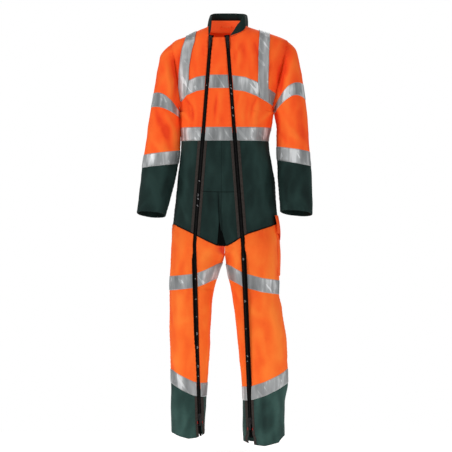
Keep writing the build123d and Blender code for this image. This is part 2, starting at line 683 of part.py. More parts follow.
# --- thigh pocket ----------------------------------------------------------
BAG_TOP, BAG_LOW, BAG_X, BAG_Y0, BAG_Y1 = -780.0, -925.0, 200.0, -110.0, -16.0
with BuildPart() as pocket_bag:
    with Locations(((170 + BAG_X) / 2, (BAG_Y0 + BAG_Y1) / 2, (BAG_TOP + BAG_LOW) / 2)):
        Box(BAG_X - 170, BAG_Y1 - BAG_Y0, BAG_TOP - BAG_LOW)
    with Locations(((160 + BAG_X - 1) / 2, (BAG_Y0 + BAG_Y1) / 2, (BAG_TOP + BAG_LOW) / 2 + 1)):
        Box(BAG_X - 1 - 160, BAG_Y1 - BAG_Y0 - 2, BAG_TOP - BAG_LOW, mode=Mode.SUBTRACT)
    for z in (-770, -807, -850, -905, -940):
        with BuildSketch(Plane.XY.offset(z)):
            with BuildLine():
                Polyline(*[(x + 0.9, y) for x, y in (at("leg_left", t, z) for t in
                           (-0.10, -0.08, -0.06, -0.04, -0.02, 0.0, 0.02, 0.04, 0.06, 0.08, 0.10))],
                         (100, 0), (100, -130), close=True)
            make_face()
    loft(ruled=True, mode=Mode.SUBTRACT)
save("pocket_bag", pocket_bag.part)
with BuildPart() as pocket_flap:
    with BuildSketch(Plane.XZ.offset(112)):
        Polygon((188.6, -702), (190.1, -701.0), (205.4, -799.8), (204.0, -800), align=None)
    extrude(amount=-98)
save("pocket_flap", pocket_flap.part)
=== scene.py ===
import math
import bpy
import numpy as np
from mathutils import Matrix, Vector
from mathutils.bvhtree import BVHTree


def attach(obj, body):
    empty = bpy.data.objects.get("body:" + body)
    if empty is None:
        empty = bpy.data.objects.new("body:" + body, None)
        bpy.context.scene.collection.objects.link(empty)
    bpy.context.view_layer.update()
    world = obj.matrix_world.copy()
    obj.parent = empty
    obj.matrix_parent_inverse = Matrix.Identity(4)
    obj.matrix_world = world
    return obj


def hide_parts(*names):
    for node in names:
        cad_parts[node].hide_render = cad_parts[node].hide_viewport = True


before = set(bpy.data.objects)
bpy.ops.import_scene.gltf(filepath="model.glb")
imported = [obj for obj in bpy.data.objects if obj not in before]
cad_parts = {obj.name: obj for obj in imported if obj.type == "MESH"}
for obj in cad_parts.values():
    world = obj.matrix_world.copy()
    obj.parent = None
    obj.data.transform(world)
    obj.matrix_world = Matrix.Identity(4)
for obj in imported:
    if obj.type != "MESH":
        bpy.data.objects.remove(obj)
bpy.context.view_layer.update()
MM = 0.001
BODY = "garment"

# ---------------------------------------------------------------------------
# the same seam and section data as the CAD part, in millimetres
# ---------------------------------------------------------------------------
YC = -55.0
TWIST = 75.0
ZIP_TOP = {"right": (-57.5, -153.0, -41.0), "left": (2.0, -155.0, -41.0)}
ZIP_BEND = {"right": (-117.0, -176.0, -807.0), "left": (59.5, -187.0, -807.0)}
ZIP_END = {"right": (-99.0, -112.0, -1455.0), "left": (87.5, -114.0, -1470.0)}
ZIP_TILT = {("right", 0): -14.0, ("left", 0): 3.5, ("right", 1): 24.0, ("left", 1): -24.0}
ROWS = {
    "torso": [
        (-4.0, -66, 71, -135, 15), (-8.0, -76, 89, -137, 18), (-18.0, -103, 121, -143, 24),
        (-30.0, -127, 159, -150, 32), (-44.0, -157, 198, -155, 40), (-64.0, -199, 234, -156, 48),
        (-100.0, -224, 238, -158, 56), (-160.0, -214, 222, -160, 62), (-230.0, -196, 202, -163, 64),
        (-315.0, -172, 176, -167, 58), (-370.0, -168, 166, -169, 48), (-422.0, -166, 156, -172, 42),
        (-500.0, -172, 166, -175, 52), (-590.0, -182, 179, -179, 62), (-690.0, -192, 186, -183, 66),
        (-765.0, -198, 188, -186, 62), (-830.0, -204, 195, -183, 54)],
    "leg_right": [
        (-700.0, -196, 0, -180, 60), (-807.0, -203, 6, -179, 52), (-850.0, -206, -8, -171, 46),
        (-905.0, -208, -27, -164, 40), (-975.0, -210, -47, -157, 34), (-1050.0, -211, -56, -150, 30),
        (-1175.0, -208, -62, -140, 28), (-1310.0, -206, -70, -133, 30), (-1400.0, -206, -77, -130, 32),
        (-1508.0, -203, -82, -128, 34)],
    "leg_left": [
        (-700.0, -14, 189, -184, 60), (-807.0, -20, 191, -187, 52), (-850.0, -5, 193, -178, 46),
        (-905.0, 5, 193.5, -169, 40), (-975.0, 18, 194, -160, 34), (-1050.0, 31, 204, -152, 30),
        (-1175.0, 44, 222, -142, 28), (-1310.0, 56, 226, -134, 30), (-1400.0, 62, 214, -131, 32),
        (-1530.0, 62, 214, -128, 34)],
}
SLEEVE = {
    "sleeve_right": [
        (-202.5, -67, -166, -298, 66, -55), (-240, -104, -172, -316, 76, -56), (-260, -192, -174, -333, 82, -57),
        (-272, -275, -171.5, -352, 82, -58), (-288, -362, -169.5, -390, 78, -62), (-301, -455, -171, -455, 73, -70),
        (-313, -550, -185, -546, 67, -84), (-321, -625, -204, -628, 62, -97), (-331, -694, -224, -706, 58, -112),
        (-341, -763, -244, -784, 54, -127)],
    "sleeve_left": [
        (226.5, -59, 171, -298, 66, -55), (256, -88, 176, -316, 76, -56), (274, -162, 178, -333, 82, -57),
        (286, -245, 182, -352, 82, -58), (300, -358, 186, -390, 78, -62), (307, -455, 185, -455, 73, -70),
        (313, -548, 189, -548, 67, -84), (315, -625, 192, -625, 62, -97), (316, -700, 198, -690, 58, -112),
        (317, -775, 204, -755, 54, -127)],
}
ARM_TOP = {"right": (-202.5, -67), "left": (226.5, -59)}
ARM_LOW = {"right": (-162.4, -318), "left": (167.2, -318)}
# neck edge of the two front panels: height, then x
NECK_X = {"right": [(-49, -64.8), (-40, -65.5), (-28, -66), (-16, -66), (-8, -65.8), (-4, -65.5)],
          "left": [(-49, 9.3), (-46, 15), (-40, 31), (-34, 47), (-29, 57), (-24, 64), (-17, 68), (-10, 69.5), (-4, 70.5)]}


def pchip(xs, ys, x):
    """Monotone cubic through the points; xs ascending."""
    xs, ys = np.asarray(xs, float), np.asarray(ys, float)
    h = np.diff(xs)
    d = np.diff(ys) / h
    m = np.zeros_like(xs)
    m[0], m[-1] = d[0], d[-1]
    for i in range(1, len(xs) - 1):
        if d[i - 1] * d[i] > 0:
            w1, w2 = 2 * h[i] + h[i - 1], h[i] + 2 * h[i - 1]
            m[i] = (w1 + w2) / (w1 / d[i - 1] + w2 / d[i])
    x = np.clip(x, xs[0], xs[-1])
    i = np.clip(np.searchsorted(xs, x) - 1, 0, len(xs) - 2)
    t = (x - xs[i]) / h[i]
    return ((2 * t**3 - 3 * t**2 + 1) * ys[i] + (t**3 - 2 * t**2 + t) * h[i] * m[i]
            + (-2 * t**3 + 3 * t**2) * ys[i + 1] + (t**3 - t**2) * h[i] * m[i + 1])


def lerp(a, b, t):
    return a + (b - a) * t


def zip_at(side, z):
    z = np.asarray(z, float)
    (x0, y0, z0), (x1, y1, z1), (x2, y2, z2) = ZIP_TOP[side], ZIP_BEND[side], ZIP_END[side]
    ta, tb = (z - z0) / (z1 - z0), (z - z1) / (z2 - z1)
    up = z >= z1
    return np.where(up, lerp(x0, x1, ta), lerp(x1, x2, tb)), np.where(up, lerp(y0, y1, ta), lerp(y1, y2, tb))


def tilt_at(side, z):
    t = np.clip((ZIP_BEND[side][2] + TWIST - np.asarray(z, float)) / (2 * TWIST), 0, 1)
    return np.radians(lerp(ZIP_TILT[(side, 0)], ZIP_TILT[(side, 1)], t))


def superness(u, target):
    lo, hi = np.full(u.shape, 1.8), np.full(u.shape, 4.5)
    for _ in range(40):
        n = (lo + hi) / 2
        low = (1 - u**n) ** (1 / n) < target
        lo, hi = np.where(low, n, lo), np.where(low, hi, n)
    return (lo + hi) / 2


TABLES = {}
for limb, rows in ROWS.items():
    rows = sorted(rows)
    zs = [r[0] for r in rows]
    gz = np.arange(zs[0], zs[-1] + 0.1, 4.0)
    xl, xr, yf, yb = (pchip(zs, [r[k] for r in rows], gz) for k in (1, 2, 3, 4))
    if limb == "torso":
        xc, yc = np.zeros_like(gz), np.full_like(gz, YC)
        zx, zy = zip_at("right", np.minimum(gz, -41))
        nl = np.clip(superness(np.abs(zx) / -xl, np.minimum((YC - zy) / (YC - yf), 0.995)), 2.1, 3.0)
        nl = np.where(gz < -60, nl, lerp(nl, 2.5, np.clip((gz + 60) / 20, 0, 1)))
        nr = np.full_like(gz, 2.5)
    else:
        side = limb[4:]
        xc, yc = (xl + xr) / 2, (yf + yb) / 2
        zx, zy = zip_at(side, gz)
        u = np.abs(zx - xc) / ((xr - xl) / 2)
        n = superness(np.maximum(u, 0.2), np.minimum((yc - zy) / (yc - yf), 0.995))
        n = np.where(u > 0.2, np.clip(n, 1.9, 3.2), 2.3)
        n = lerp(2.3, n, np.clip((-gz - 815) / 60, 0, 1))
        nl, nr = (np.full_like(gz, 2.3), n) if side == "right" else (n, np.full_like(gz, 2.3))
    TABLES[limb] = (gz, xl, xr, yf, yb, xc, yc, nl, nr)


def params(limb, z):
    gz = TABLES[limb][0]
    return [np.interp(z, gz, col) for col in TABLES[limb][1:]]


def spow(c, e):
    return np.sign(c) * np.abs(c) ** e


def surf(limb, p, t):
    """Surface point: p is -z for the torso and legs, the station for a sleeve."""
    a = 2 * np.pi * t
    c, s = np.cos(a), np.sin(a)
    if limb.startswith("sleeve"):
        rows = SLEEVE[limb]
        idx = np.arange(len(rows))
        ox, oz, ix, iz, b, y = (pchip(idx, [r[k] for r in rows], p) for k in range(6))
        k = spow(c, 2 / 2.2)
        return np.stack([(ox + ix) / 2 + (ox - ix) / 2 * k, y + b * spow(s, 2 / 2.2),
                         (oz + iz) / 2 + (oz - iz) / 2 * k], -1)
    xl, xr, yf, yb, xc, yc, nl, nr = params(limb, -p)
    n = np.where(s > 0, 2.4 if limb == "torso" else 2.4, np.where(c > 0, nr, nl))
    return np.stack([xc + np.where(c > 0, xr - xc, xc - xl) * spow(c, 2 / n),
                     yc + np.where(s > 0, yb - yc, yc - yf) * spow(s, 2 / n), -p + 0 * t], -1)


def normals(limb, p, t):
    dt, dp = 0.002, (0.01 if limb.startswith("sleeve") else 2.0)
    a = surf(limb, p, t + dt) - surf(limb, p, t - dt)
    b = surf(limb, p + dp, t) - surf(limb, p - dp, t)
    n = np.cross(b, a)
    n /= np.maximum(np.linalg.norm(n, axis=-1, keepdims=True), 1e-9)
    if limb == "sleeve_right":
        mid = surf(limb, p, np.zeros_like(t)) * 0.5 + surf(limb, p, np.full_like(t, 0.5)) * 0.5
    elif limb == "sleeve_left":
        mid = surf(limb, p, np.zeros_like(t)) * 0.5 + surf(limb, p, np.full_like(t, 0.5)) * 0.5
    else:
        xl, xr, yf, yb, xc, yc, nl, nr = params(limb, -p)
        mid = np.stack([xc + 0 * t, yc + 0 * t, -p + 0 * t], -1)
    flip = np.sum(n * (surf(limb, p, t) - mid), -1, keepdims=True) < 0
    return np.where(flip, -n, n)


def t_of_x(limb, x, z, where):
    xl, xr, yf, yb, xc, yc, nl, nr = params(limb, z)
    a = np.where(x > xc, xr - xc, xc - xl)
    n = 2.4 if where == "back" else np.where(x > xc, nr, nl)
    c = np.minimum(np.abs(x - xc) / a, 1.0) ** (n / 2)
    ang = np.arccos(np.where(x > xc, c, -c)) / (2 * np.pi)
    return ang if where == "back" else 1 - ang


def t_of_y(limb, y, z, right):
    xl, xr, yf, yb, xc, yc, nl, nr = params(limb, z)
    s = np.minimum(np.abs(y - yc) / (yc - yf), 1.0) ** ((nl if right else nr) / 2)
    a = np.arccos(np.sqrt(np.maximum(1 - s * s, 0))) / (2 * np.pi)
    return 0.5 + a if right else 1 - a


# ---------------------------------------------------------------------------
# seam functions of z
# ---------------------------------------------------------------------------
def zip_edge(limb, side, sign, gap=6.7):
    def t(z):
        z = np.asarray(z, float)
        wide = gap + np.where(z < -1470, 6.0 * (-1470 - z) / 45, 0.0)
        return t_of_x(limb, zip_at(side, z)[0] + sign * wide * np.cos(tilt_at(side, z)), z, "front")
    return t


def armhole(side, where, gap=0.0):
    sign = 1 if side == "right" else -1

    def t(z):
        z = np.asarray(z, float)
        k = (z - ARM_TOP[side][1]) / (ARM_LOW[side][1] - ARM_TOP[side][1])
        x = lerp(ARM_TOP[side][0], ARM_LOW[side][0], k) + sign * gap
        edge = params("torso", z)[0 if side == "right" else 1]
        x = np.maximum(x, edge) if side == "right" else np.minimum(x, edge)
        hole = t_of_x("torso", x, z, where)
        base = 0.5 if side == "right" else (1.0 if where == "front" else 0.0)
        return np.where((z > ARM_TOP[side][1]) | (z < ARM_LOW[side][1]), base, hole)
    return t


def chest_inner(side):
    def t(z):
        z = np.asarray(z, float)
        low = zip_edge("torso", side, -1 if side == "right" else 1)(np.minimum(z, -41))
        x = np.interp(z, [a for a, b in NECK_X[side]], [b for a, b in NECK_X[side]])
        return np.where(z <= -49, low, t_of_x("torso", x, z, "front"))
    return t


def inner_edge(side, where):
    limb = "leg_" + side

    def t(z):
        z = np.asarray(z, float)
        sec = params(limb, z)
        if side == "right":
            k = t_of_x(limb, np.minimum(-6.6, sec[1]), z, where)
            return k
        return t_of_x(limb, np.maximum(-6.4, sec[0]), z, where)
    return t


def fixed(v):
    return lambda z: np.full_like(np.asarray(z, float), v)


# ---------------------------------------------------------------------------
# folds: smooth noise plus single folds drawn as lines in the front view
# ---------------------------------------------------------------------------
_rng = np.random.RandomState(11)
_GRAD = _rng.normal(size=(4096, 3))
_GRAD /= np.linalg.norm(_GRAD, axis=1, keepdims=True)


def noise3(p):
    i = np.floor(p).astype(np.int64)
    f = p - i
    u = f * f * f * (f * (f * 6 - 15) + 10)
    total = np.zeros(p.shape[:-1])
    for dx in (0, 1):
        for dy in (0, 1):
            for dz in (0, 1):
                h = ((i[..., 0] + dx) * 73856093 ^ (i[..., 1] + dy) * 19349663 ^ (i[..., 2] + dz) * 83492791) & 4095
                g = _GRAD[h]
                w = (np.where(dx, u[..., 0], 1 - u[..., 0]) * np.where(dy, u[..., 1], 1 - u[..., 1])
                     * np.where(dz, u[..., 2], 1 - u[..., 2]))
                total += w * (g[..., 0] * (f[..., 0] - dx) + g[..., 1] * (f[..., 1] - dy) + g[..., 2] * (f[..., 2] - dz))
    return total


# (points in x, z; half width; height, negative for a valley; +1 front, -1 back, 0 both)
FOLDS = [
    # chest and shoulders, front
    ([(30, -60), (46, -120), (40, -178)], 9, 1.8, 1), ([(62, -70), (70, -150)], 8, -1.5, 1),
    ([(88, -60), (96, -140), (92, -190)], 9, 1.4, 1), ([(-110, -70), (-104, -150), (-98, -200)], 9, 1.5, 1),
    ([(-84, -80), (-80, -170)], 7, -1.2, 1),
    ([(60, -250), (36, -320), (28, -372)], 8, 1.8, 1), ([(84, -262), (70, -330), (74, -374)], 8, -1.4, 1),
    ([(-20, -245), (-26, -310), (-30, -372)], 8, 1.2, 1), ([(-120, -268), (-112, -330), (-116, -374)], 8, 1.6, 1),
    ([(-140, -290), (-132, -374)], 6, -1.2, 1), ([(120, -290), (104, -340), (106, -374)], 8, 1.8, 1),
    ([(170, -110), (150, -190), (150, -250)], 8, -1.6, 1), ([(-176, -120), (-166, -200)], 8, -1.6, 1),
    ([(52, -75), (34, -110), (26, -150)], 5, -2.0, 1), ([(44, -255), (30, -310), (22, -365)], 5, -2.2, 1),
    ([(-34, -250), (-42, -310), (-44, -360)], 5, -2.0, 1), ([(120, -255), (96, -300), (84, -360)], 5, -2.0, 1),
    ([(-150, -275), (-128, -300), (-120, -360)], 5, -2.0, 1), ([(104, -70), (122, -130), (120, -180)], 5, -1.8, 1),
    # armpit pulls
    ([(186, -310), (150, -330), (120, -360)], 8, 2.2, 1), ([(-178, -312), (-150, -335), (-126, -366)], 8, 2.0, 1),
    # hip panels, front
    ([(-140, -440), (-150, -560), (-152, -680)], 14, 1.8, 1), ([(0, -440), (6, -560)], 12, 1.0, 1),
    ([(112, -440), (130, -560), (138, -700)], 15, 2.2, 1), ([(150, -430), (166, -540)], 8, -1.8, 1),
    ([(-31, -620), (-22, -700), (-17, -800)], 4, -3.0, 1),
    # thighs and knees, front
    ([(-60, -830), (-110, -880), (-150, -900)], 10, 1.8, 1), ([(-52, -870), (-84, -960)], 9, -1.6, 1),
    ([(30, -840), (76, -900), (120, -925)], 10, 1.8, 1), ([(40, -980), (90, -1050), (150, -1080)], 14, 1.8, 1),
    ([(52, -1060), (100, -1120)], 12, -1.5, 1), ([(150, -1010), (186, -1120), (196, -1240)], 16, 2.2, 1),
    ([(-70, -1040), (-130, -1080), (-180, -1090)], 12, 1.5, 1), ([(-80, -1120), (-128, -1190)], 12, -1.4, 1),
    ([(-170, -980), (-176, -1150)], 14, 1.4, 1), ([(120, -1130), (150, -1240), (146, -1290)], 12, 1.8, 1),
    # shins, front
    ([(-150, -1360), (-156, -1480)], 12, 1.6, 1), ([(180, -1330), (186, -1420), (178, -1500)], 12, 2.2, 1),
    ([(134, -1370), (138, -1480)], 10, -1.8, 1),
    # sleeves, front
    ([(-200, -110), (-184, -200), (-186, -280)], 9, -2.6, 1), ([(-222, -140), (-206, -230), (-200, -290)], 8, 1.8, 1),
    ([(-230, -320), (-196, -380), (-186, -440)], 10, 2.4, 1), ([(-270, -300), (-230, -390), (-206, -450)], 12, -2.0, 1),
    ([(-276, -420), (-240, -455), (-200, -470)], 10, 1.6, 1),
    ([(218, -110), (200, -190), (196, -280)], 9, -2.6, 1), ([(240, -140), (222, -220), (208, -290)], 8, 1.8, 1),
    ([(206, -340), (240, -400), (290, -440)], 12, 2.0, 1), ([(198, -390), (222, -440)], 9, -1.8, 1),
    ([(-280, -560), (-250, -640), (-250, -700)], 13, 1.6, 1), ([(290, -540), (262, -620), (260, -690)], 13, 1.6, 1),
    ([(212, -560), (220, -660)], 9, -1.6, 1), ([(-214, -560), (-236, -640)], 9, -1.6, 1),
    # back
    ([(-110, -60), (-104, -200)], 14, 2.0, -1), ([(110, -60), (104, -200)], 14, 2.0, -1),
    ([(-150, -110), (-128, -210)], 12, -2.4, -1), ([(150, -110), (128, -210)], 12, -2.4, -1),
    ([(-70, -290), (-60, -372)], 12, 2.2, -1), ([(60, -290), (70, -372)], 12, 2.0, -1), ([(0, -290), (4, -372)], 12, 1.6, -1),
    ([(-120, -440), (-130, -620)], 16, 2.4, -1), ([(120, -440), (126, -620)], 16, 2.4, -1),
    ([(-50, -440), (-56, -600)], 14, -1.8, -1), ([(50, -440), (52, -620)], 14, 1.8, -1),
    ([(-20, -760), (-70, -800), (-130, -812)], 12, 2.4, -1), ([(20, -760), (70, -800), (130, -812)], 12, 2.4, -1),
    ([(-40, -840), (-100, -880), (-150, -885)], 12, 2.2, -1), ([(40, -840), (100, -880), (150, -885)], 12, 2.2, -1),
    ([(-60, -1060), (-120, -1080), (-180, -1066)], 12, 3.0, -1), ([(60, -1060), (120, -1084), (190, -1066)], 12, 3.0, -1),
    ([(-70, -1110), (-130, -1128), (-186, -1110)], 12, -2.6, -1), ([(66, -1110), (130, -1130), (200, -1110)], 12, -2.6, -1),
    ([(-130, -1360), (-136, -1500)], 14, 2.0, -1), ([(140, -1370), (136, -1520)], 14, 2.0, -1),
]


def folds(P):
    x, y, z = P[..., 0], P[..., 1], P[..., 2]
    depth_c = YC + np.where(z < -420, np.where(np.abs(x) > 176, -35.0, 0.0), 0.0)
    front = 1 / (1 + np.exp((y - depth_c) / 12.0))
    total = np.zeros(x.shape)
    for pts, half, height, face in FOLDS:
        best = np.full(x.shape, 1e9)
        along = np.zeros(x.shape)
        length = sum(math.dist(a, b) for a, b in zip(pts, pts[1:]))
        done = 0.0
        for (ax, az), (bx, bz) in zip(pts, pts[1:]):
            dx, dz = bx - ax, bz - az
            ll = math.hypot(dx, dz)
            k = np.clip(((x - ax) * dx + (z - az) * dz) / (ll * ll), 0, 1)
            d = np.hypot(x - ax - k * dx, z - az - k * dz)
            near = d < best
            best = np.where(near, d, best)
            along = np.where(near, (done + k * ll) / length, along)
            done += ll
        h = height * np.exp(-(best / half) ** 2) * np.sin(np.pi * np.clip(along * 0.9 + 0.06, 0, 1)) ** 0.7
        total += h * (front if face > 0 else (1 - front) if face < 0 else 1.0)
    q = P / np.array([62.0, 62.0, 118.0])
    total = total * 1.35 + 3.6 * noise3(q) + 2.2 * noise3(P / np.array([27.0, 27.0, 60.0]) + 9.1)
    ridge = 1 - 2 * np.abs(noise3(P / np.array([46.0, 46.0, 96.0]) + 31.7))
    total += 1.1 * np.maximum(ridge - 0.45, 0) * 2.0
    total += 0.35 * noise3(P / 11.0 + 3.3)
    return total


# ---------------------------------------------------------------------------
# grids between seams
# ---------------------------------------------------------------------------
def solve(limb, edge, t_of_p, s, p_lo, p_hi):
    """Station on each column where the surface meets an edge z = edge(x)."""
    lo, hi = np.full(s.shape, float(p_lo)), np.full(s.shape, float(p_hi))
    for _ in range(34):
        mid = (lo + hi) / 2
        P = surf(limb, mid, t_of_p(mid, s))
        above = P[..., 2] > edge(P[..., 0])
        lo, hi = np.where(above, mid, lo), np.where(above, hi, mid)
    return (lo + hi) / 2


def line(z0, x0=0.0, slope=0.0):
    return lambda x: z0 + (x - x0) * slope


def poly(*pts):
    pts = sorted(pts)
    return lambda x: np.interp(x, [p[0] for p in pts], [p[1] for p in pts])


PIECES = {}
OUTER = []


def cloth(name, limb, top, low, t0, t1, off=0.0, step=4.0, material=None, body=BODY, replaces=(), fold=1.0,
          tape=False, thick=1.5, seam=(1, 1, 1, 1), slot=None, extra=None, plain=(0, 0), shade=None):
    """One piece of cloth on a limb between two seams and two edges, as a grid that follows the folds."""
    sleeve = limb.startswith("sleeve")
    p_lo, p_hi = (0.0, 9.0) if sleeve else (-ROWS[limb][0][0], -ROWS[limb][-1][0])

    def t_of_p(p, s):
        z = p if sleeve else -p
        return lerp(t0(z), t1(z), s)

    probe = np.linspace(0, 1, 9)
    pa, pb = solve(limb, top, t_of_p, probe, p_lo, p_hi), solve(limb, low, t_of_p, probe, p_lo, p_hi)
    mid = surf(limb, (pa + pb) / 2, t_of_p((pa + pb) / 2, probe))
    width = np.linalg.norm(np.diff(mid, axis=0), axis=1).sum()
    height = np.linalg.norm(surf(limb, pa, t_of_p(pa, probe)) - surf(limb, pb, t_of_p(pb, probe)), axis=1).max()
    nu, nv = max(int(width / step), 4) + 1, max(int(height / step), 4) + 1
    s = np.linspace(0, 1, nu)
    ptop, plow = solve(limb, top, t_of_p, s, p_lo, p_hi), solve(limb, low, t_of_p, s, p_lo, p_hi)
    plow = np.maximum(plow, ptop + (0.002 if sleeve else 0.4))
    r = np.linspace(0, 1, nv)[:, None]
    p = ptop[None, :] + (plow - ptop)[None, :] * r
    S = np.broadcast_to(s[None, :], p.shape)
    t = t_of_p(p, S)
    P = surf(limb, p, t)
    N = normals(limb, p, t)
    u = np.concatenate([np.zeros((nv, 1)), np.cumsum(np.linalg.norm(np.diff(P, axis=1), axis=2), axis=1)], axis=1)
    v = np.concatenate([np.zeros((1, nu)), np.cumsum(np.linalg.norm(np.diff(P, axis=0), axis=2), axis=0)], axis=0)
    dl, dr, dt, db = u, u[:, -1:] - u, v, v[-1:, :] - v
    D = folds(P) * fold
    # cloth sinks a little at its sewn edges and puckers beside them
    for d, on, run in ((dl, seam[0], v), (dr, seam[1], v), (dt, seam[2], u), (db, seam[3], u)):
        if on:
            D = D - 0.9 * np.exp(-(d / 2.2) ** 2) * on
            D = D + (0.0 if tape else 0.45) * np.exp(-(d / 13.0) ** 2) * np.sin(run / 2.6 + 2.2 * noise3(P / 30.0 + 5)) * on
    if tape:
        D = D + 0.5 * noise3(np.stack([u / 13.0, v / 90.0, 0 * u + hash_name(name)], -1))
    if extra is not None:
        D = D + extra(P, u, v)
    V = P + N * (off + D)[..., None]
    faces = [(a * nu + b, a * nu + b + 1, (a + 1) * nu + b + 1, (a + 1) * nu + b) for a in range(nv - 1) for b in range(nu - 1)]
    me = bpy.data.meshes.new(name)
    me.from_pydata((V.reshape(-1, 3) * MM).tolist(), [], faces)
    me.update()
    me.polygons.foreach_set("use_smooth", [True] * len(me.polygons))
    el, er = dl + 900 * plain[0], dr + 900 * plain[1]
    for key, data in (("uv_mm", np.stack([u, v, 0 * u], -1)), ("edges", np.stack([np.minimum(el, er), np.minimum(dt, db), P[..., 1]], -1))):
        at = me.attributes.new(key, "FLOAT_VECTOR", "POINT")
        at.data.foreach_set("vector", data.reshape(-1).astype(np.float32))
    at = me.attributes.new("fold", "FLOAT", "POINT")
    at.data.foreach_set("value", D.reshape(-1).astype(np.float32))
    S_ = np.zeros(P.shape[:2]) if shade is None else shade(P, u, v, dl, dr, t, p)
    at = me.attributes.new("shade", "FLOAT", "POINT")
    at.data.foreach_set("value", np.clip(S_, 0, 1).reshape(-1).astype(np.float32))
    OUTER.append((name, V, faces, tape))
    ob = bpy.data.objects.new(name, me)
    bpy.context.scene.collection.objects.link(ob)
    # grid winding: make the outside the front of the faces
    me.calc_loop_triangles()
    pol = me.polygons[len(me.polygons) // 2]
    if Vector(N.reshape(-1, 3)[pol.vertices[0]]).dot(pol.normal) < 0:
        me.flip_normals()
    if thick:
        mod = ob.modifiers.new("thickness", "SOLIDIFY")
        mod.thickness = thick * MM
        mod.offset = -1
        mod.use_rim = True
    ob.data.materials.append(material)
    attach(ob, body)
    if replaces:
        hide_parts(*replaces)
    PIECES[name] = ob
    return ob, V, N, u, v


def hash_name(name):
    return float(sum(ord(c) * (i + 3) for i, c in enumerate(name)) % 97)


def mesh_object(name, verts, faces, material, body=BODY, smooth=True, replaces=()):
    me = bpy.data.meshes.new(name)
    me.from_pydata([tuple(c * MM for c in v) for v in verts], [], faces)
    me.update()
    if smooth:
        me.polygons.foreach_set("use_smooth", [True] * len(me.polygons))
    ob = bpy.data.objects.new(name, me)
    bpy.context.scene.collection.objects.link(ob)
    ob.data.materials.append(material)
    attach(ob, body)
    if replaces:
        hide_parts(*replaces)
    PIECES[name] = ob
    return ob


# ---------------------------------------------------------------------------
# materials
# ---------------------------------------------------------------------------
class Nodes:
    def __init__(self, name):
        self.mat = bpy.data.materials.new(name)
        self.mat.use_nodes = True
        self.nt = self.mat.node_tree
        self.bsdf = self.nt.nodes["Principled BSDF"]

    def add(self, kind, **props):
        n = self.nt.nodes.new(kind)
        for k, v in props.items():
            setattr(n, k, v)
        return n

    def link(self, a, b):
        self.nt.links.new(a, b)

    def math(self, op, a, b=None, c=None, clamp=False):
        n = self.add("ShaderNodeMath", operation=op, use_clamp=clamp)
        for i, v in enumerate((a, b, c)):
            if v is None:
                continue
            if isinstance(v, (int, float)):
                n.inputs[i].default_value = v
            else:
                self.link(v, n.inputs[i])
        return n.outputs[0]

    def attr(self, name, out="Vector"):
        return self.add("ShaderNodeAttribute", attribute_name=name).outputs[out]

    def noise(self, vec, scale, detail=3.0, rough=0.5):
        n = self.add("ShaderNodeTexNoise")
        n.inputs["Scale"].default_value = scale
        n.inputs["Detail"].default_value = detail
        n.inputs["Roughness"].default_value = rough
        if vec is not None:
            self.link(vec, n.inputs["Vector"])
        return n.outputs["Fac"]

    def mapping(self, vec, scale, turned=(0.0, 0.0, 0.0)):
        n = self.add("ShaderNodeMapping")
        n.inputs["Scale"].default_value = scale
        n.inputs["Rotation"].default_value = turned
        self.link(vec, n.inputs["Vector"])
        return n.outputs["Vector"]

    def ramp(self, fac, stops):
        n = self.add("ShaderNodeValToRGB")
        e = n.color_ramp.elements
        while len(e) < len(stops):
            e.new(0.5)
        for el, (pos, col) in zip(e, stops):
            el.position = pos
            el.color = (*col, 1)
        self.link(fac, n.inputs["Fac"])
        return n.outputs["Color"]

    def mix(self, fac, a, b, mode="MIX"):
        n = self.add("ShaderNodeMix", data_type="RGBA", blend_type=mode)
        if isinstance(fac, (int, float)):
            n.inputs["Factor"].default_value = fac
        else:
            self.link(fac, n.inputs["Factor"])
        for v, sock in ((a, n.inputs[6]), (b, n.inputs[7])):
            if isinstance(v, tuple):
                sock.default_value = (*v, 1)
            else:
                self.link(v, sock)
        return n.outputs[2]

    def bump(self, height, strength, distance):
        n = self.add("ShaderNodeBump")
        n.inputs["Strength"].default_value = strength
        n.inputs["Distance"].default_value = distance
        self.link(height, n.inputs["Height"])
        return n.outputs["Normal"]


def stitch_mask(m, sep, uv, at_mm=3.0, half=0.35, pitch=3.2):
    """1 on the dashes of a stitch line that runs at a distance from each edge."""
    out = None
    for axis, run in (("X", "Y"), ("Y", "X")):
        near = m.math("COMPARE", sep["e" + axis], at_mm, half)
        dash = m.math("LESS_THAN", m.math("FRACT", m.math("DIVIDE", uv[run], pitch)), 0.72)
        both = m.math("MULTIPLY", near, dash)
        out = both if out is None else m.math("MAXIMUM", out, both)
    return out


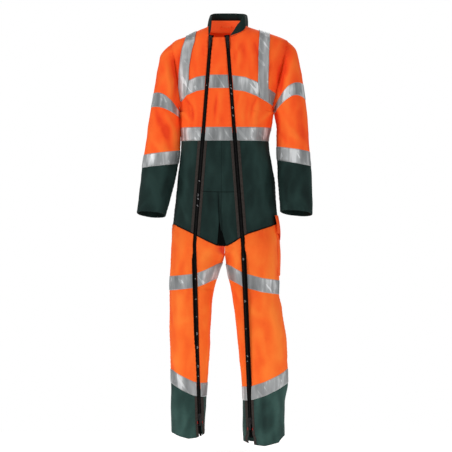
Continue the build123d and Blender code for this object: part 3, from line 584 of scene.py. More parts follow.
def fabric(name, dark, base, light, thread, rough=0.85, sheen=0.3, glow=0.0, weave=0.75, painted_shade_color=(0.55, 0.010, 0.008)):
    m = Nodes(name)
    uv = m.add("ShaderNodeSeparateXYZ")
    m.link(m.attr("uv_mm"), uv.inputs[0])
    ed = m.add("ShaderNodeSeparateXYZ")
    m.link(m.attr("edges"), ed.inputs[0])
    U = {"X": uv.outputs[0], "Y": uv.outputs[1]}
    E = {"eX": ed.outputs[0], "eY": ed.outputs[1]}
    coord = m.add("ShaderNodeTexCoord").outputs["Object"]
    big = m.noise(coord, 7.0, 2.0)
    fine = m.noise(coord, 90.0, 4.0, 0.6)
    # painted shade and light: fold valleys take the dark, redder end of the colour ramp and fold ridges take the light
    # end; the noise adds tone that differs at random
    fold_shading = m.math("MULTIPLY_ADD", m.attr("fold", "Fac"), 0.155, 0.5, clamp=True)
    tone = m.math("ADD", m.math("MULTIPLY", fold_shading, 0.62), m.math("ADD", m.math("MULTIPLY", big, 0.26), m.math("MULTIPLY", fine, 0.10)))
    color = m.ramp(tone, [(0.25, dark), (0.5, base), (0.78, light)])
    # twill: fine diagonal ribs crossed by the yarn
    diag = m.math("SINE", m.math("MULTIPLY", m.math("ADD", U["X"], U["Y"]), 2 * math.pi / weave))
    cross = m.math("SINE", m.math("MULTIPLY", m.math("SUBTRACT", U["X"], U["Y"]), 2 * math.pi / (weave * 0.62)))
    weave_h = m.math("MULTIPLY_ADD", m.math("ADD", diag, m.math("MULTIPLY", cross, 0.4)), 0.25, 0.5)
    color = m.mix(0.10, color, m.mix(weave_h, tuple(c * 0.6 for c in base), tuple(min(c * 1.25, 1) for c in base)))
    # painted shade: the 'shade' attribute mixes in a dark colour where shadow falls in the armpits, sleeve creases and
    # inner thighs
    color = m.mix(m.math("MULTIPLY", m.attr("shade", "Fac"), 0.85), color, painted_shade_color)
    st = stitch_mask(m, E, U, 2.6)
    st2 = stitch_mask(m, E, U, 8.2)
    stitches = m.math("MAXIMUM", st, m.math("MULTIPLY", st2, 0.75))
    color = m.mix(m.math("MULTIPLY", stitches, 0.85), color, thread)
    # cloth painted a little lighter along sewn edges, in patches
    edge_lighten = m.math("MULTIPLY", m.math("LESS_THAN", m.math("MINIMUM", E["eX"], E["eY"]), 1.6), m.math("GREATER_THAN", fine, 0.52))
    color = m.mix(m.math("MULTIPLY", edge_lighten, 0.25), color, light)
    m.link(color, m.bsdf.inputs["Base Color"])
    height = m.math("ADD", m.math("MULTIPLY", weave_h, 0.10), m.math("ADD", m.math("MULTIPLY", fine, 0.25), m.math("MULTIPLY", stitches, 0.5)))
    m.link(m.bump(height, 0.45, 0.0006), m.bsdf.inputs["Normal"])
    m.bsdf.inputs["Roughness"].default_value = rough
    m.bsdf.inputs["Specular IOR Level"].default_value = 0.22
    m.bsdf.inputs["Sheen Weight"].default_value = sheen
    m.bsdf.inputs["Sheen Roughness"].default_value = 0.45
    m.bsdf.inputs["Sheen Tint"].default_value = (*light, 1)
    # painted light: a small emission, standing in for the cloth's fluorescence, keeps the cloth bright and saturated in
    # shade
    if glow:
        m.link(color, m.bsdf.inputs["Emission Color"])
        m.bsdf.inputs["Emission Strength"].default_value = glow
    return m.mat


def reflective(name):
    m = Nodes(name)
    uv = m.add("ShaderNodeSeparateXYZ")
    m.link(m.attr("uv_mm"), uv.inputs[0])
    ed = m.add("ShaderNodeSeparateXYZ")
    m.link(m.attr("edges"), ed.inputs[0])
    U = {"X": uv.outputs[0], "Y": uv.outputs[1]}
    E = {"eX": ed.outputs[0], "eY": ed.outputs[1]}
    coord = m.add("ShaderNodeTexCoord").outputs["Object"]
    # light and dark streaks that run across the tape, one set wide and one narrow
    wide = m.noise(m.mapping(coord, (26.0, 26.0, 4.0)), 1.0, 2.0, 0.45)
    slim = m.noise(m.mapping(coord, (85.0, 85.0, 9.0)), 1.0, 3.0, 0.6)
    grain = m.noise(coord, 900.0, 2.0, 0.7)
    # painted highlights: slanted light streaks stand in for light catching creases in the tape, and the fold attribute
    # paints fold valleys a little darker
    slant_highlight = m.noise(m.mapping(m.mapping(coord, (1.0, 1.0, 1.0), (0.0, 0.62, 0.0)), (75.0, 75.0, 6.0)), 1.0, 1.0, 0.3)
    crease = m.math("MULTIPLY", m.math("GREATER_THAN", slant_highlight, 0.66), 0.085)
    tone = m.math("ADD", m.math("MULTIPLY", wide, 0.62), m.math("ADD", m.math("MULTIPLY", slim, 0.38), m.math("MULTIPLY", m.attr("fold", "Fac"), 0.045)))
    tone = m.math("ADD", tone, crease)
    color = m.ramp(tone, [(0.34, (0.14, 0.147, 0.15)), (0.46, (0.25, 0.262, 0.268)), (0.57, (0.36, 0.375, 0.38)), (0.69, (0.80, 0.82, 0.83))])
    color = m.mix(0.18, color, m.mix(grain, (0.10, 0.10, 0.10), (0.55, 0.55, 0.55)))
    st = stitch_mask(m, E, U, 2.6, 0.4, 3.0)
    color = m.mix(m.math("MULTIPLY", st, 0.8), color, (0.42, 0.43, 0.42))
    edge = m.math("LESS_THAN", E["eY"], 1.1)
    color = m.mix(m.math("MULTIPLY", edge, 0.45), color, (0.62, 0.63, 0.63))
    m.link(color, m.bsdf.inputs["Base Color"])
    rough = m.math("MULTIPLY_ADD", wide, 0.25, 0.36)
    m.link(rough, m.bsdf.inputs["Roughness"])
    m.bsdf.inputs["Metallic"].default_value = 0.35
    m.link(m.bump(m.math("ADD", m.math("MULTIPLY", grain, 0.3), m.math("ADD", m.math("MULTIPLY", slim, 0.8), m.math("MULTIPLY", st, -0.6))), 0.35, 0.0008),
           m.bsdf.inputs["Normal"])
    return m.mat


def hard(name, base, light, rough, metallic=0.0, scale=400.0, spec=0.5):
    m = Nodes(name)
    coord = m.add("ShaderNodeTexCoord").outputs["Object"]
    a, b = m.noise(coord, scale, 4.0, 0.6), m.noise(coord, scale * 0.17, 2.0)
    tone = m.math("ADD", m.math("MULTIPLY", a, 0.5), m.math("MULTIPLY", b, 0.5))
    color = m.ramp(tone, [(0.35, base), (0.68, light)])
    m.link(color, m.bsdf.inputs["Base Color"])
    m.link(m.math("MULTIPLY_ADD", a, 0.2, rough), m.bsdf.inputs["Roughness"])
    m.bsdf.inputs["Metallic"].default_value = metallic
    m.bsdf.inputs["Specular IOR Level"].default_value = spec
    m.link(m.bump(a, 0.25, 0.0003), m.bsdf.inputs["Normal"])
    return m.mat


def plain_cloth(name, base, light, rough=0.9, rib=1.1, spec=0.08):
    """Cloth for narrow pieces with no seam data: the weave comes from object coordinates."""
    m = Nodes(name)
    coord = m.add("ShaderNodeTexCoord").outputs["Object"]
    w = m.add("ShaderNodeTexWave", wave_type="BANDS", bands_direction="DIAGONAL")
    w.inputs["Scale"].default_value = 330.0 / rib
    w.inputs["Distortion"].default_value = 1.5
    m.link(coord, w.inputs["Vector"])
    n = m.noise(coord, 160.0, 3.0)
    tone = m.math("ADD", m.math("MULTIPLY", w.outputs["Fac"], 0.4), m.math("MULTIPLY", n, 0.6))
    m.link(m.ramp(tone, [(0.25, base), (0.8, light)]), m.bsdf.inputs["Base Color"])
    m.bsdf.inputs["Roughness"].default_value = rough
    m.bsdf.inputs["Specular IOR Level"].default_value = spec
    m.link(m.bump(tone, 0.4, 0.0004), m.bsdf.inputs["Normal"])
    return m.mat


ORANGE = fabric("orange_cloth", (0.80, 0.045, 0.006), (0.95, 0.10, 0.012), (0.97, 0.165, 0.022), (0.85, 0.10, 0.02), glow=0.10)
# painted light: a lighter, yellower copy of the same orange cloth for the legs, which are lit more
ORANGE_LIT_LEGS = fabric("orange_cloth_legs", (0.80, 0.066, 0.007), (0.885, 0.130, 0.0145), (0.91, 0.195, 0.025), (0.85, 0.12, 0.02), glow=0.10)
GREEN = fabric("green_cloth", (0.0025, 0.010, 0.009), (0.006, 0.020, 0.0175), (0.015, 0.040, 0.035), (0.010, 0.026, 0.024), sheen=0.05,
               painted_shade_color=(0.002, 0.005, 0.005))
# painted light: a lighter copy of the same green cloth for the shins and hem facings, which are lit more
GREEN_LIT_LEGS = fabric("green_cloth_legs", (0.009, 0.026, 0.023), (0.019, 0.050, 0.043), (0.042, 0.098, 0.084), (0.018, 0.045, 0.04), sheen=0.10,
                   painted_shade_color=(0.006, 0.016, 0.014))
TAPE = reflective("reflective_tape")
BLACK = plain_cloth("zip_tape_black", (0.0015, 0.0015, 0.0015), (0.005, 0.005, 0.005), spec=0.02)
TAUPE = plain_cloth("zip_binding_taupe", (0.022, 0.018, 0.016), (0.060, 0.050, 0.045))
PIPING = plain_cloth("piping_black", (0.001, 0.0015, 0.0015), (0.004, 0.005, 0.005), spec=0.02)
TEETH = hard("zip_teeth_black", (0.002, 0.002, 0.002), (0.008, 0.008, 0.008), 0.45, spec=0.10)
METAL = hard("zip_metal_dark", (0.004, 0.004, 0.0045), (0.022, 0.022, 0.023), 0.34, metallic=0.4, spec=0.3)
# painted glint: light metal for chips that stand in for highlights on the zip teeth
GLINT_METAL = hard("zip_metal_painted_glint", (0.16, 0.16, 0.165), (0.65, 0.65, 0.66), 0.25, metallic=0.6)
ELASTIC = plain_cloth("elastic_black", (0.004, 0.004, 0.004), (0.02, 0.02, 0.02), rib=2.2)
WEB = plain_cloth("loop_webbing", (0.006, 0.006, 0.006), (0.03, 0.03, 0.03))
RED = plain_cloth("bartack_red", (0.25, 0.01, 0.01), (0.5, 0.03, 0.02))
# painted light: the lining glows strongly so the shaded inside of the collar and the hanger loop stay bright
LINEN = fabric("orange_lining", (0.70, 0.06, 0.012), (0.88, 0.115, 0.025), (0.93, 0.17, 0.04), (0.8, 0.10, 0.03), glow=0.34)
# painted shade: a darker, less glowing copy of the orange cloth for the pocket, flap, neck seam cord and loop bartacks,
# which lie in shade
ORANGE_SHADED = fabric("orange_cloth_painted_shade", (0.74, 0.04, 0.006), (0.90, 0.09, 0.012), (0.95, 0.15, 0.02), (0.85, 0.10, 0.02), glow=0.06)
CLOTH_SLOT = {ORANGE: "orange_cloth", ORANGE_LIT_LEGS: "orange_cloth", GREEN: "green_cloth", GREEN_LIT_LEGS: "green_cloth"}

# ---------------------------------------------------------------------------
# damping of the folds beside the zips, gathers at the back waist
# ---------------------------------------------------------------------------
raw_folds = folds


def folds(P):
    x, y, z = P[..., 0], P[..., 1], P[..., 2]
    D = raw_folds(P)
    for side in ("right", "left"):
        zx, zy = zip_at(side, np.minimum(z, -41))
        d = np.hypot(x - zx, y - zy)
        k = np.clip((d - 5) / 34, 0, 1)
        D = D * (0.08 + 0.92 * k * k * (3 - 2 * k))
    back = 1 / (1 + np.exp((YC + 25 - y) / 8.0))
    D = D + back * 1.5 * np.sin(x / 5.4 + 1.6 * noise3(P / 40.0)) * np.exp(-((z + 404) / 46) ** 2) * (np.abs(z + 404) > 26)
    low = np.clip((-z - 20) / 40, 0, 1)
    return D * (0.35 + 0.65 * low)


# armhole outline of the torso, from the top down the front (or back) and under the arm
def armhole_curve(side, where):
    z = np.linspace(ARM_TOP[side][1], ARM_LOW[side][1], 60)
    t = armhole(side, where)(z)
    pts = surf("torso", -z, t)
    pts[0] = [ARM_TOP[side][0], YC, ARM_TOP[side][1]]
    base = 0.5 if side == "right" else (1.0 if where == "front" else 0.0)
    tt = np.linspace(float(t[-1]), base, 12)[1:]
    under = surf("torso", np.full(tt.shape, -ARM_LOW[side][1]), tt)
    pts = np.concatenate([pts, under])
    f = np.concatenate([[0], np.cumsum(np.linalg.norm(np.diff(pts, axis=0), axis=1))])
    return pts, f / f[-1]


HOLES = {(s, w): armhole_curve(s, w) for s in ("right", "left") for w in ("front", "back")}
plain_surf = surf


def surf(limb, p, t):
    S = plain_surf(limb, p, t)
    if not limb.startswith("sleeve"):
        return S
    side = limb[7:]
    w = np.clip(1 - p / 1.15, 0, 1)
    w = w * w * (3 - 2 * w)
    if not np.any(w > 0):
        return S
    ring = np.linspace(0, 0.5, 80)
    R = plain_surf(limb, np.zeros(80), ring)
    f = np.concatenate([[0], np.cumsum(np.linalg.norm(np.diff(R, axis=0), axis=1))])
    f /= f[-1]
    tt = np.mod(t, 1.0)
    half = np.where(tt <= 0.5, tt, 1 - tt)
    frac = np.interp(half, ring, f)
    out = np.empty(S.shape)
    for where, mask in (("back", tt <= 0.5), ("front", tt > 0.5)):
        pts, g = HOLES[(side, where)]
        A = np.stack([np.interp(frac, g, pts[:, k]) for k in range(3)], -1)
        out = np.where(mask[..., None], A, out)
    return lerp(S, out, w[..., None])


# the upper legs flow out of the hip panels: near the seam their depth is the hip's
leg_surf = surf
V_EDGE = poly((-200, -733), (-187, -737), (-116, -771), (-70, -795), (-36, -810), (-17, -812), (1.5, -812),
              (20, -802), (48, -784), (77, -768), (130, -751), (181, -735), (196, -731))
CROTCH_X = -6.5


def surf(limb, p, t):
    S = leg_surf(limb, p, t)
    if not limb.startswith("leg"):
        return S
    z = -p
    if not np.any(z > -905):
        return S
    x, y = S[..., 0], S[..., 1]
    xl, xr, yf, yb, xc, yc, nl, nr = params(limb, z)
    zt = np.maximum(z, -828)
    front = np.sin(2 * np.pi * t) <= 0
    tf = t_of_x("torso", x, zt, "front")
    tb = t_of_x("torso", x, zt, "back")
    yt = np.where(front, plain_surf("torso", -zt, tf)[..., 1], plain_surf("torso", -zt, tb)[..., 1])
    edge = np.where(front, V_EDGE(x), -745.0)
    k = np.clip((edge - z) / np.where(front, 62.0, 105.0), 0, 1)
    w = 1 - k * k * (3 - 2 * k)
    outer = np.where(limb == "leg_right", x - xl, xr - x)
    g = np.clip(outer / 26, 0, 1)
    S = S.copy()
    S[..., 1] = lerp(y, yt, w * g * g * (3 - 2 * g))
    return S


_solve = solve


def solve(limb, edge, t_of_p, s, p_lo, p_hi):
    if isinstance(edge, (int, float)):
        return np.full(s.shape, float(edge))
    if limb.startswith("sleeve"):
        return edge(t_of_p(np.zeros(s.shape), s))
    return _solve(limb, edge, t_of_p, s, p_lo, p_hi)


ROWS["leg_right"].append((-1560.0, 0, 0, 0, 0))
ROWS["leg_left"].append((-1560.0, 0, 0, 0, 0))
ROWS["torso"].append((-840.0, 0, 0, 0, 0))


def notch(side, sign, gap=6.6):
    base = zip_edge("leg_" + side, side, sign, 0.0)

    def t(z):
        z = np.asarray(z, float)
        if side == "right":
            wide = gap + np.clip((-1487 - z) / 30, 0, 1.3) * (-4.0 if sign < 0 else 5.5)
        else:
            wide = gap + np.clip((-1508 - z) / 10, 0, 1) * 4.5
        return t_of_x("leg_" + side, zip_at(side, z)[0] + sign * wide * np.cos(tilt_at(side, z)), z, "front")
    return t


def turn(outer, inner, front=0.0):
    """Station along a sleeve as a function of the turn: outer, inner, and a lift at the front."""
    return lambda t: inner + (outer - inner) * (1 + np.cos(2 * np.pi * t)) / 2 + front * np.sin(2 * np.pi * t)


def shifted(f, dz):
    return lambda x: f(x) + dz


def lift(f):
    return lambda z: 1 + f(z)


# --- chest and back ---------------------------------------------------------
WAIST = line(-400.0)
NECK = line(-4.6)
def hole_shade(P, u, v, dl, dr, t, p):
    z = P[..., 2]
    d = dl if P[len(P) // 2, 0, 0] < -100 else dr
    return 0.6 * np.exp(-(d / 12.0) ** 2) * np.clip((-z - 120) / 120, 0, 1)


cloth("v_chest_front_right", "torso", NECK, WAIST, armhole("right", "front", -1.2), chest_inner("right"), material=ORANGE, shade=hole_shade,
      replaces=["chest_front_right"], slot="orange_cloth")
cloth("v_chest_front_centre", "torso", line(-49.0), WAIST, zip_edge("torso", "right", 1), zip_edge("torso", "left", -1),
      material=ORANGE, replaces=["chest_front_centre"], slot="orange_cloth")
cloth("v_chest_front_left", "torso", NECK, WAIST, chest_inner("left"), armhole("left", "front", -1.2), material=ORANGE, shade=hole_shade,
      replaces=["chest_front_left"], slot="orange_cloth")
cloth("v_back_upper", "torso", NECK, WAIST, armhole("left", "back", -1.2), armhole("right", "back", -1.2), material=ORANGE,
      replaces=["back_upper"], slot="orange_cloth")

# --- hip --------------------------------------------------------------------
SPLIT = lambda z: t_of_x("torso", np.full(np.shape(z), -17.0), z, "front")
hip = {}
for name, t0, t1 in (("hip_front_right", fixed(0.5), zip_edge("torso", "right", -1)),
                     ("hip_front_centre_right", zip_edge("torso", "right", 1), SPLIT),
                     ("hip_front_centre_left", SPLIT, zip_edge("torso", "left", -1)),
                     ("hip_front_left", zip_edge("torso", "left", 1), fixed(1.0))):
    centre = (1 if name == "hip_front_centre_left" else 0, 1 if name == "hip_front_centre_right" else 0)
    hip[name] = cloth("v_" + name, "torso", WAIST, V_EDGE, t0, t1, material=GREEN, replaces=[name], slot="green_cloth",
                      seam=(1 - centre[0], 1 - centre[1], 1, 1), plain=centre)
hip["hip_back"] = cloth("v_hip_back", "torso", WAIST, line(-745.0), fixed(0.0), fixed(0.5), material=GREEN,
                        replaces=["hip_back"], slot="green_cloth")

# --- legs -------------------------------------------------------------------
SHIN_TAPE = {"right": poly((-212, -1264), (-190, -1275), (-160, -1292), (-120, -1311), (-90, -1316), (-50, -1317)),
             "left": poly((46, -1331), (90, -1328), (140, -1312), (190, -1288), (232, -1263))}
SHIN_SEAM = {s: shifted(SHIN_TAPE[s], -25) for s in SHIN_TAPE}
HEM = {"right": poly((-206, -1500), (-170, -1513), (-141, -1521), (-110, -1518), (-82, -1508)),
       "left": poly((60, -1533), (90, -1543), (141, -1548), (190, -1537), (216, -1513))}
THIGH_TAPE = {"right": poly((-212, -925), (-113, -914), (-75, -899), (-30, -877), (0, -868)),
              "left": poly((-5, -876), (20, -888), (63, -912), (130, -930), (202, -941))}
cloth("v_leg_front_outer_right", "leg_right", V_EDGE, SHIN_SEAM["right"], fixed(0.5), notch("right", -1),
      material=ORANGE_LIT_LEGS, replaces=["leg_front_outer_right"], slot="orange_cloth")
def inner_shade(P, u, v, dl, dr, t, p):
    z = P[..., 2]
    d = np.minimum(dl, dr) if False else dr
    return 1.1 * np.exp(-(d / 26.0) ** 2) * np.clip((z + 915) / 40, 0, 1) + 0.25 * np.exp(-(d / 18.0) ** 2) * np.clip((z + 1260) / 200, 0, 1)


def sleeve_shade(P, u, v, dl, dr, t, p):
    c = -np.cos(2 * np.pi * t)
    inner = np.clip((c - 0.62) / 0.38, 0, 1) ** 1.5
    near = np.exp(-(p / 0.32) ** 2)
    return 0.75 * inner * np.clip((5.4 - p) / 2.4, 0, 1) + 0.5 * near * (np.sin(2 * np.pi * t) < 0.2) * np.clip((c + 0.5), 0, 1)


cloth("v_leg_front_inner_right", "leg_right", V_EDGE, SHIN_SEAM["right"], notch("right", 1), inner_edge("right", "front"),
      shade=inner_shade, material=ORANGE_LIT_LEGS, replaces=["leg_front_inner_right"], slot="orange_cloth")
cloth("v_leg_back_right", "leg_right", line(-745.0), SHIN_SEAM["right"], inner_edge("right", "back"), fixed(0.5),
      material=ORANGE_LIT_LEGS, replaces=["leg_back_right"], slot="orange_cloth")
cloth("v_leg_front_outer_left", "leg_left", V_EDGE, SHIN_SEAM["left"], notch("left", 1), fixed(1.0),
      material=ORANGE_LIT_LEGS, replaces=["leg_front_outer_left"], slot="orange_cloth")
cloth("v_leg_front_inner_left", "leg_left", V_EDGE, SHIN_SEAM["left"], inner_edge("left", "front"), notch("left", -1),
      material=ORANGE_LIT_LEGS, replaces=["leg_front_inner_left"], slot="orange_cloth")
cloth("v_leg_back_left", "leg_left", line(-745.0), SHIN_SEAM["left"], fixed(0.0), inner_edge("left", "back"),
      material=ORANGE_LIT_LEGS, replaces=["leg_back_left"], slot="orange_cloth")
for side in ("right", "left"):
    limb = "leg_" + side
    cloth("v_shin_" + side, limb, SHIN_SEAM[side], HEM[side], notch(side, 1), lift(notch(side, -1)),
          material=GREEN_LIT_LEGS, replaces=["shin_" + side], slot="green_cloth")
    cloth("hem_facing_" + side, limb, shifted(HEM[side], 28), shifted(HEM[side], 0.6), notch(side, 1, 9), lift(notch(side, -1, 9)),
          off=-2.6, material=GREEN_LIT_LEGS, slot="green_cloth", thick=1.0)

# --- sleeves ----------------------------------------------------------------
CUFF = {"right": 5.5, "left": 5.4}
ARM_TAPE = {("arm", "right"): (turn(2.71, 1.42), turn(3.32, 2.62)), ("arm", "left"): (turn(2.70, 0.62), turn(3.28, 1.62)),
            ("forearm", "right"): (turn(5.24, 5.09), turn(5.73, 5.63)), ("forearm", "left"): (turn(5.12, 4.90), turn(5.68, 5.47))}
for side in ("right", "left"):
    limb = "sleeve_" + side
    cloth("v_sleeve_upper_" + side, limb, 0.0, CUFF[side], fixed(0.5), fixed(1.5), material=ORANGE, shade=sleeve_shade,
          replaces=["sleeve_upper_" + side], slot="orange_cloth")
    cloth("v_sleeve_lower_" + side, limb, CUFF[side], turn(7.97, 7.97, 0.14), fixed(0.5), fixed(1.5), material=GREEN,
          replaces=["sleeve_lower_" + side], slot="green_cloth")
    cloth("cuff_facing_" + side, limb, turn(7.60, 7.60, 0.14), turn(7.96, 7.96, 0.14), fixed(0.5), fixed(1.5), off=-2.5, material=GREEN, slot="green_cloth", thick=1.0)
    for place in ("arm", "forearm"):
        a, b = ARM_TAPE[(place, side)]
        cloth(f"v_tape_{place}_{side}", limb, a, b, fixed(0.5), fixed(1.5), off=1.3, material=TAPE, tape=True, thick=0.8,
              replaces=[f"tape_{place}_{side}"], slot="reflective_tape")

# --- reflective tape --------------------------------------------------------
G = 7.6
tape_args = dict(off=1.3, material=TAPE, tape=True, thick=0.8, slot="reflective_tape")
cloth("v_tape_chest_centre", "torso", line(-186.5), line(-235.5), zip_edge("torso", "right", 1, G), zip_edge("torso", "left", -1, G),
      replaces=["tape_chest_centre"], **tape_args)
R_TOP = poly((-215, -290), (-190, -262), (-175, -243), (-146, -209), (-110, -194), (-66, -187))
L_TOP = poly((8, -187), (68, -195), (110, -211), (150, -234), (190, -258), (215, -274))
cloth("v_tape_chest_right", "torso", R_TOP, shifted(R_TOP, -52), armhole("right", "front", 1.5), zip_edge("torso", "right", -1, G),
      replaces=["tape_chest_right"], **tape_args)
cloth("v_tape_chest_left", "torso", L_TOP, shifted(L_TOP, -53), zip_edge("torso", "left", 1, G), armhole("left", "front", 1.5),
      replaces=["tape_chest_left"], **tape_args)
cloth("v_tape_chest_back", "torso", line(-225.0), line(-275.0), armhole("left", "back", 1.5), armhole("right", "back", 1.5),
      replaces=["tape_chest_back"], **tape_args)
cloth("v_tape_waist_centre", "torso", line(-378.0), line(-428.0), zip_edge("torso", "right", 1, G), zip_edge("torso", "left", -1, G),
      replaces=["tape_waist_centre"], **tape_args)
cloth("v_tape_waist_wrap", "torso", line(-378.0), line(-428.0), zip_edge("torso", "left", 1, G), lift(zip_edge("torso", "right", -1, G)),
      replaces=["tape_waist_wrap"], **tape_args)
for side in ("right", "left"):
    limb = "leg_" + side
    for place, top in (("thigh", THIGH_TAPE[side]), ("shin", SHIN_TAPE[side])):
        cloth(f"v_tape_{place}_{side}", limb, top, shifted(top, -52), notch(side, 1, G), lift(notch(side, -1, G)),
              replaces=[f"tape_{place}_{side}"], **tape_args)


def top_of(x, y):
    lo, hi = np.full(x.shape, -300.0), np.full(x.shape, -4.0)
    for _ in range(40):
        z = (lo + hi) / 2
        xl, xr, yf, yb, xc, yc, nl, nr = params("torso", z)
        u = np.abs(x - xc) / np.where(x > xc, xr - xc, xc - xl)
        n = np.where(y > yc, 2.4, np.where(x > xc, nr, nl))
        b = np.where(y > yc, yb - yc, yc - yf)
        inside = u**n + (np.abs(y - yc) / b) ** n < 1
        lo, hi = np.where(inside, z, lo), np.where(inside, hi, z)
    return (lo + hi) / 2


def attributes(me, u, v, ex, ey, fold):
    for key, data in (("uv_mm", np.stack([u, v, 0 * u], -1)), ("edges", np.stack([ex, ey, 0 * u], -1))):
        at = me.attributes.new(key, "FLOAT_VECTOR", "POINT")
        at.data.foreach_set("vector", data.reshape(-1).astype(np.float32))
    at = me.attributes.new("fold", "FLOAT", "POINT")
    at.data.foreach_set("value", np.broadcast_to(fold, np.shape(u)).reshape(-1).astype(np.float32))
    me.attributes.new("shade", "FLOAT", "POINT")


def grid_piece(name, V, material, body=BODY, thick=1.0, replaces=(), fold=0.0, outward=None, offset=-1.0):
    nv, nu = V.shape[:2]
    u = np.concatenate([np.zeros((nv, 1)), np.cumsum(np.linalg.norm(np.diff(V, axis=1), axis=2), axis=1)], axis=1)
    v = np.concatenate([np.zeros((1, nu)), np.cumsum(np.linalg.norm(np.diff(V, axis=0), axis=2), axis=0)], axis=0)
    faces = [(a * nu + b, a * nu + b + 1, (a + 1) * nu + b + 1, (a + 1) * nu + b) for a in range(nv - 1) for b in range(nu - 1)]
    ob = mesh_object(name, V.reshape(-1, 3), faces, material, body, True, replaces)
    attributes(ob.data, u, v, np.minimum(u, u[:, -1:] - u), np.minimum(v, v[-1:] - v), fold)
    pol = ob.data.polygons[len(ob.data.polygons) // 2]
    if outward is not None and Vector(outward).dot(pol.normal) < 0:
        ob.data.flip_normals()
    if thick:
        mod = ob.modifiers.new("thickness", "SOLIDIFY")
        mod.thickness = thick * MM
        mod.offset = offset
    return ob


# --- braces over the shoulders ----------------------------------------------
verts_, faces_ = [], []
for name_, V_, f_, tape_ in OUTER:
    if name_ in ("v_chest_front_right", "v_chest_front_left", "v_back_upper", "v_sleeve_upper_right", "v_sleeve_upper_left"):
        base_ = len(verts_)
        verts_ += [tuple(q) for q in V_.reshape(-1, 3)]
        faces_ += [tuple(base_ + k for k in q) for q in f_]
SHELL = BVHTree.FromPolygons(verts_, faces_)
BRACE = {"right": [(-276, -163), (-238, -159), (-217, -157), (-185, -157), (-148, -154), (-115, -149), (-85, -143), (-64, -134), (-47, -128)],
         "left": [(-280, 141), (-250, 136), (-226, 133), (-185, 135), (-148, 136), (-115, 136), (-85, 137), (-64, 138), (-47, 138)]}
for side in ("right", "left"):
    x_top = -128.0 if side == "right" else 138.0
    zz, xx = zip(*BRACE[side])
    path = []
    for z in np.arange(zz[0], -46.9, 4.0):
        path.append((float(np.interp(z, zz, xx)), None, z, "front"))
    for y in np.arange(-112, 3, 4.0):
        path.append((x_top, y, None, "front" if y <= YC else "back"))
    for z in np.arange(-48, -222.1, -4.0):
        path.append((x_top, None, z, "back"))
    across = np.linspace(-19, 19, 11)
    rows = []
    for x, y, z, where in path:
        xs = x + across
        zs = top_of(xs, np.full(xs.shape, float(y))) if z is None else np.full(xs.shape, float(z))
        if z is not None and where == "front":
            edge_ = R_TOP if side == "right" else L_TOP
            end_ = edge_(x) - 51.0
            # the end is cut along the lower edge of the chest tape
            zs = zs + ((edge_(xs) - 51.0) - end_) * np.clip((-z - 150) / 110, 0, 1)
        t = t_of_x("torso", xs, zs, where)
        P = plain_surf("torso", -zs, t)
        N = normals("torso", -zs, t)
        rows.append(np.concatenate([P, N], -1))
    Q = np.array(rows)
    P, N = Q[..., :3], Q[..., 3:]
    for _ in range(10):
        P[1:-1] = (P[:-2] + 2 * P[1:-1] + P[2:]) / 4
    arc = np.concatenate([[0], np.cumsum(np.linalg.norm(np.diff(P[:, 5], axis=0), axis=1))])
    V = P.copy()
    N = P.copy()
    for a_ in range(P.shape[0]):
        for b_ in range(P.shape[1]):
            spot, nn, _, _ = SHELL.find_nearest(Vector(P[a_, b_]))
            V[a_, b_], N[a_, b_] = spot, nn
    flip = np.sum(N * (V - np.array([0, YC, -150.0])), -1) < 0
    N[flip] *= -1
    for _ in range(3):
        N[1:-1] = (N[:-2] + 2 * N[1:-1] + N[2:]) / 4
    N /= np.linalg.norm(N, axis=-1, keepdims=True)
    crease = 0.7 * noise3(np.stack([across[None] / 26 + 0 * arc[:, None], arc[:, None] / 60 + 0 * across[None], 0 * P[..., 0] + (4 if side == "left" else 9)], -1))
    V = V + N * (2.9 + np.maximum(crease, -0.5))[..., None]
    grid_piece("v_tape_brace_" + side, V, TAPE, replaces=["tape_brace_" + side], fold=0.0, thick=0.8,
               outward=tuple(N[0, 5]))

# --- waist elastic, zip facings, piping ---------------------------------------
cloth("v_waist_elastic", "torso", line(-386.0), line(-422.0), fixed(0.06), fixed(0.44), off=-5.2, material=ELASTIC, thick=1.2,
      replaces=["waist_elastic"], slot="black_webbing", seam=(0, 0, 0, 0), extra=lambda P, u, v: 0.6 * np.sin(u / 1.6))
for side in ("right", "left"):
    for sign, word in ((-1, "right"), (1, "left")):
        near, far = zip_edge("torso", side, sign, 7.2), zip_edge("torso", side, sign, 17.5)
        a, b = (near, far) if sign > 0 else (far, near)
        cloth(f"v_zip_facing_{side}_{word}", "torso", line(-428.6), shifted(V_EDGE, 1.5), a, b, off=0.75, material=TAUPE,
              thick=0.7, replaces=[f"zip_facing_{side}_{word}"], slot="taupe_binding", seam=(0, 0, 0, 0), step=3.0)
        near, far = notch(side, sign, 7.2), notch(side, sign, 17.0)
        a, b = (near, far) if sign > 0 else (far, near)
        cloth(f"zip_facing_shin_{side}_{word}", "leg_" + side, shifted(SHIN_TAPE[side], -53), shifted(HEM[side], 2.5), a, b, off=0.75,
              material=TAUPE, thick=0.7, slot="taupe_binding", seam=(0, 0, 0, 0), step=3.0)


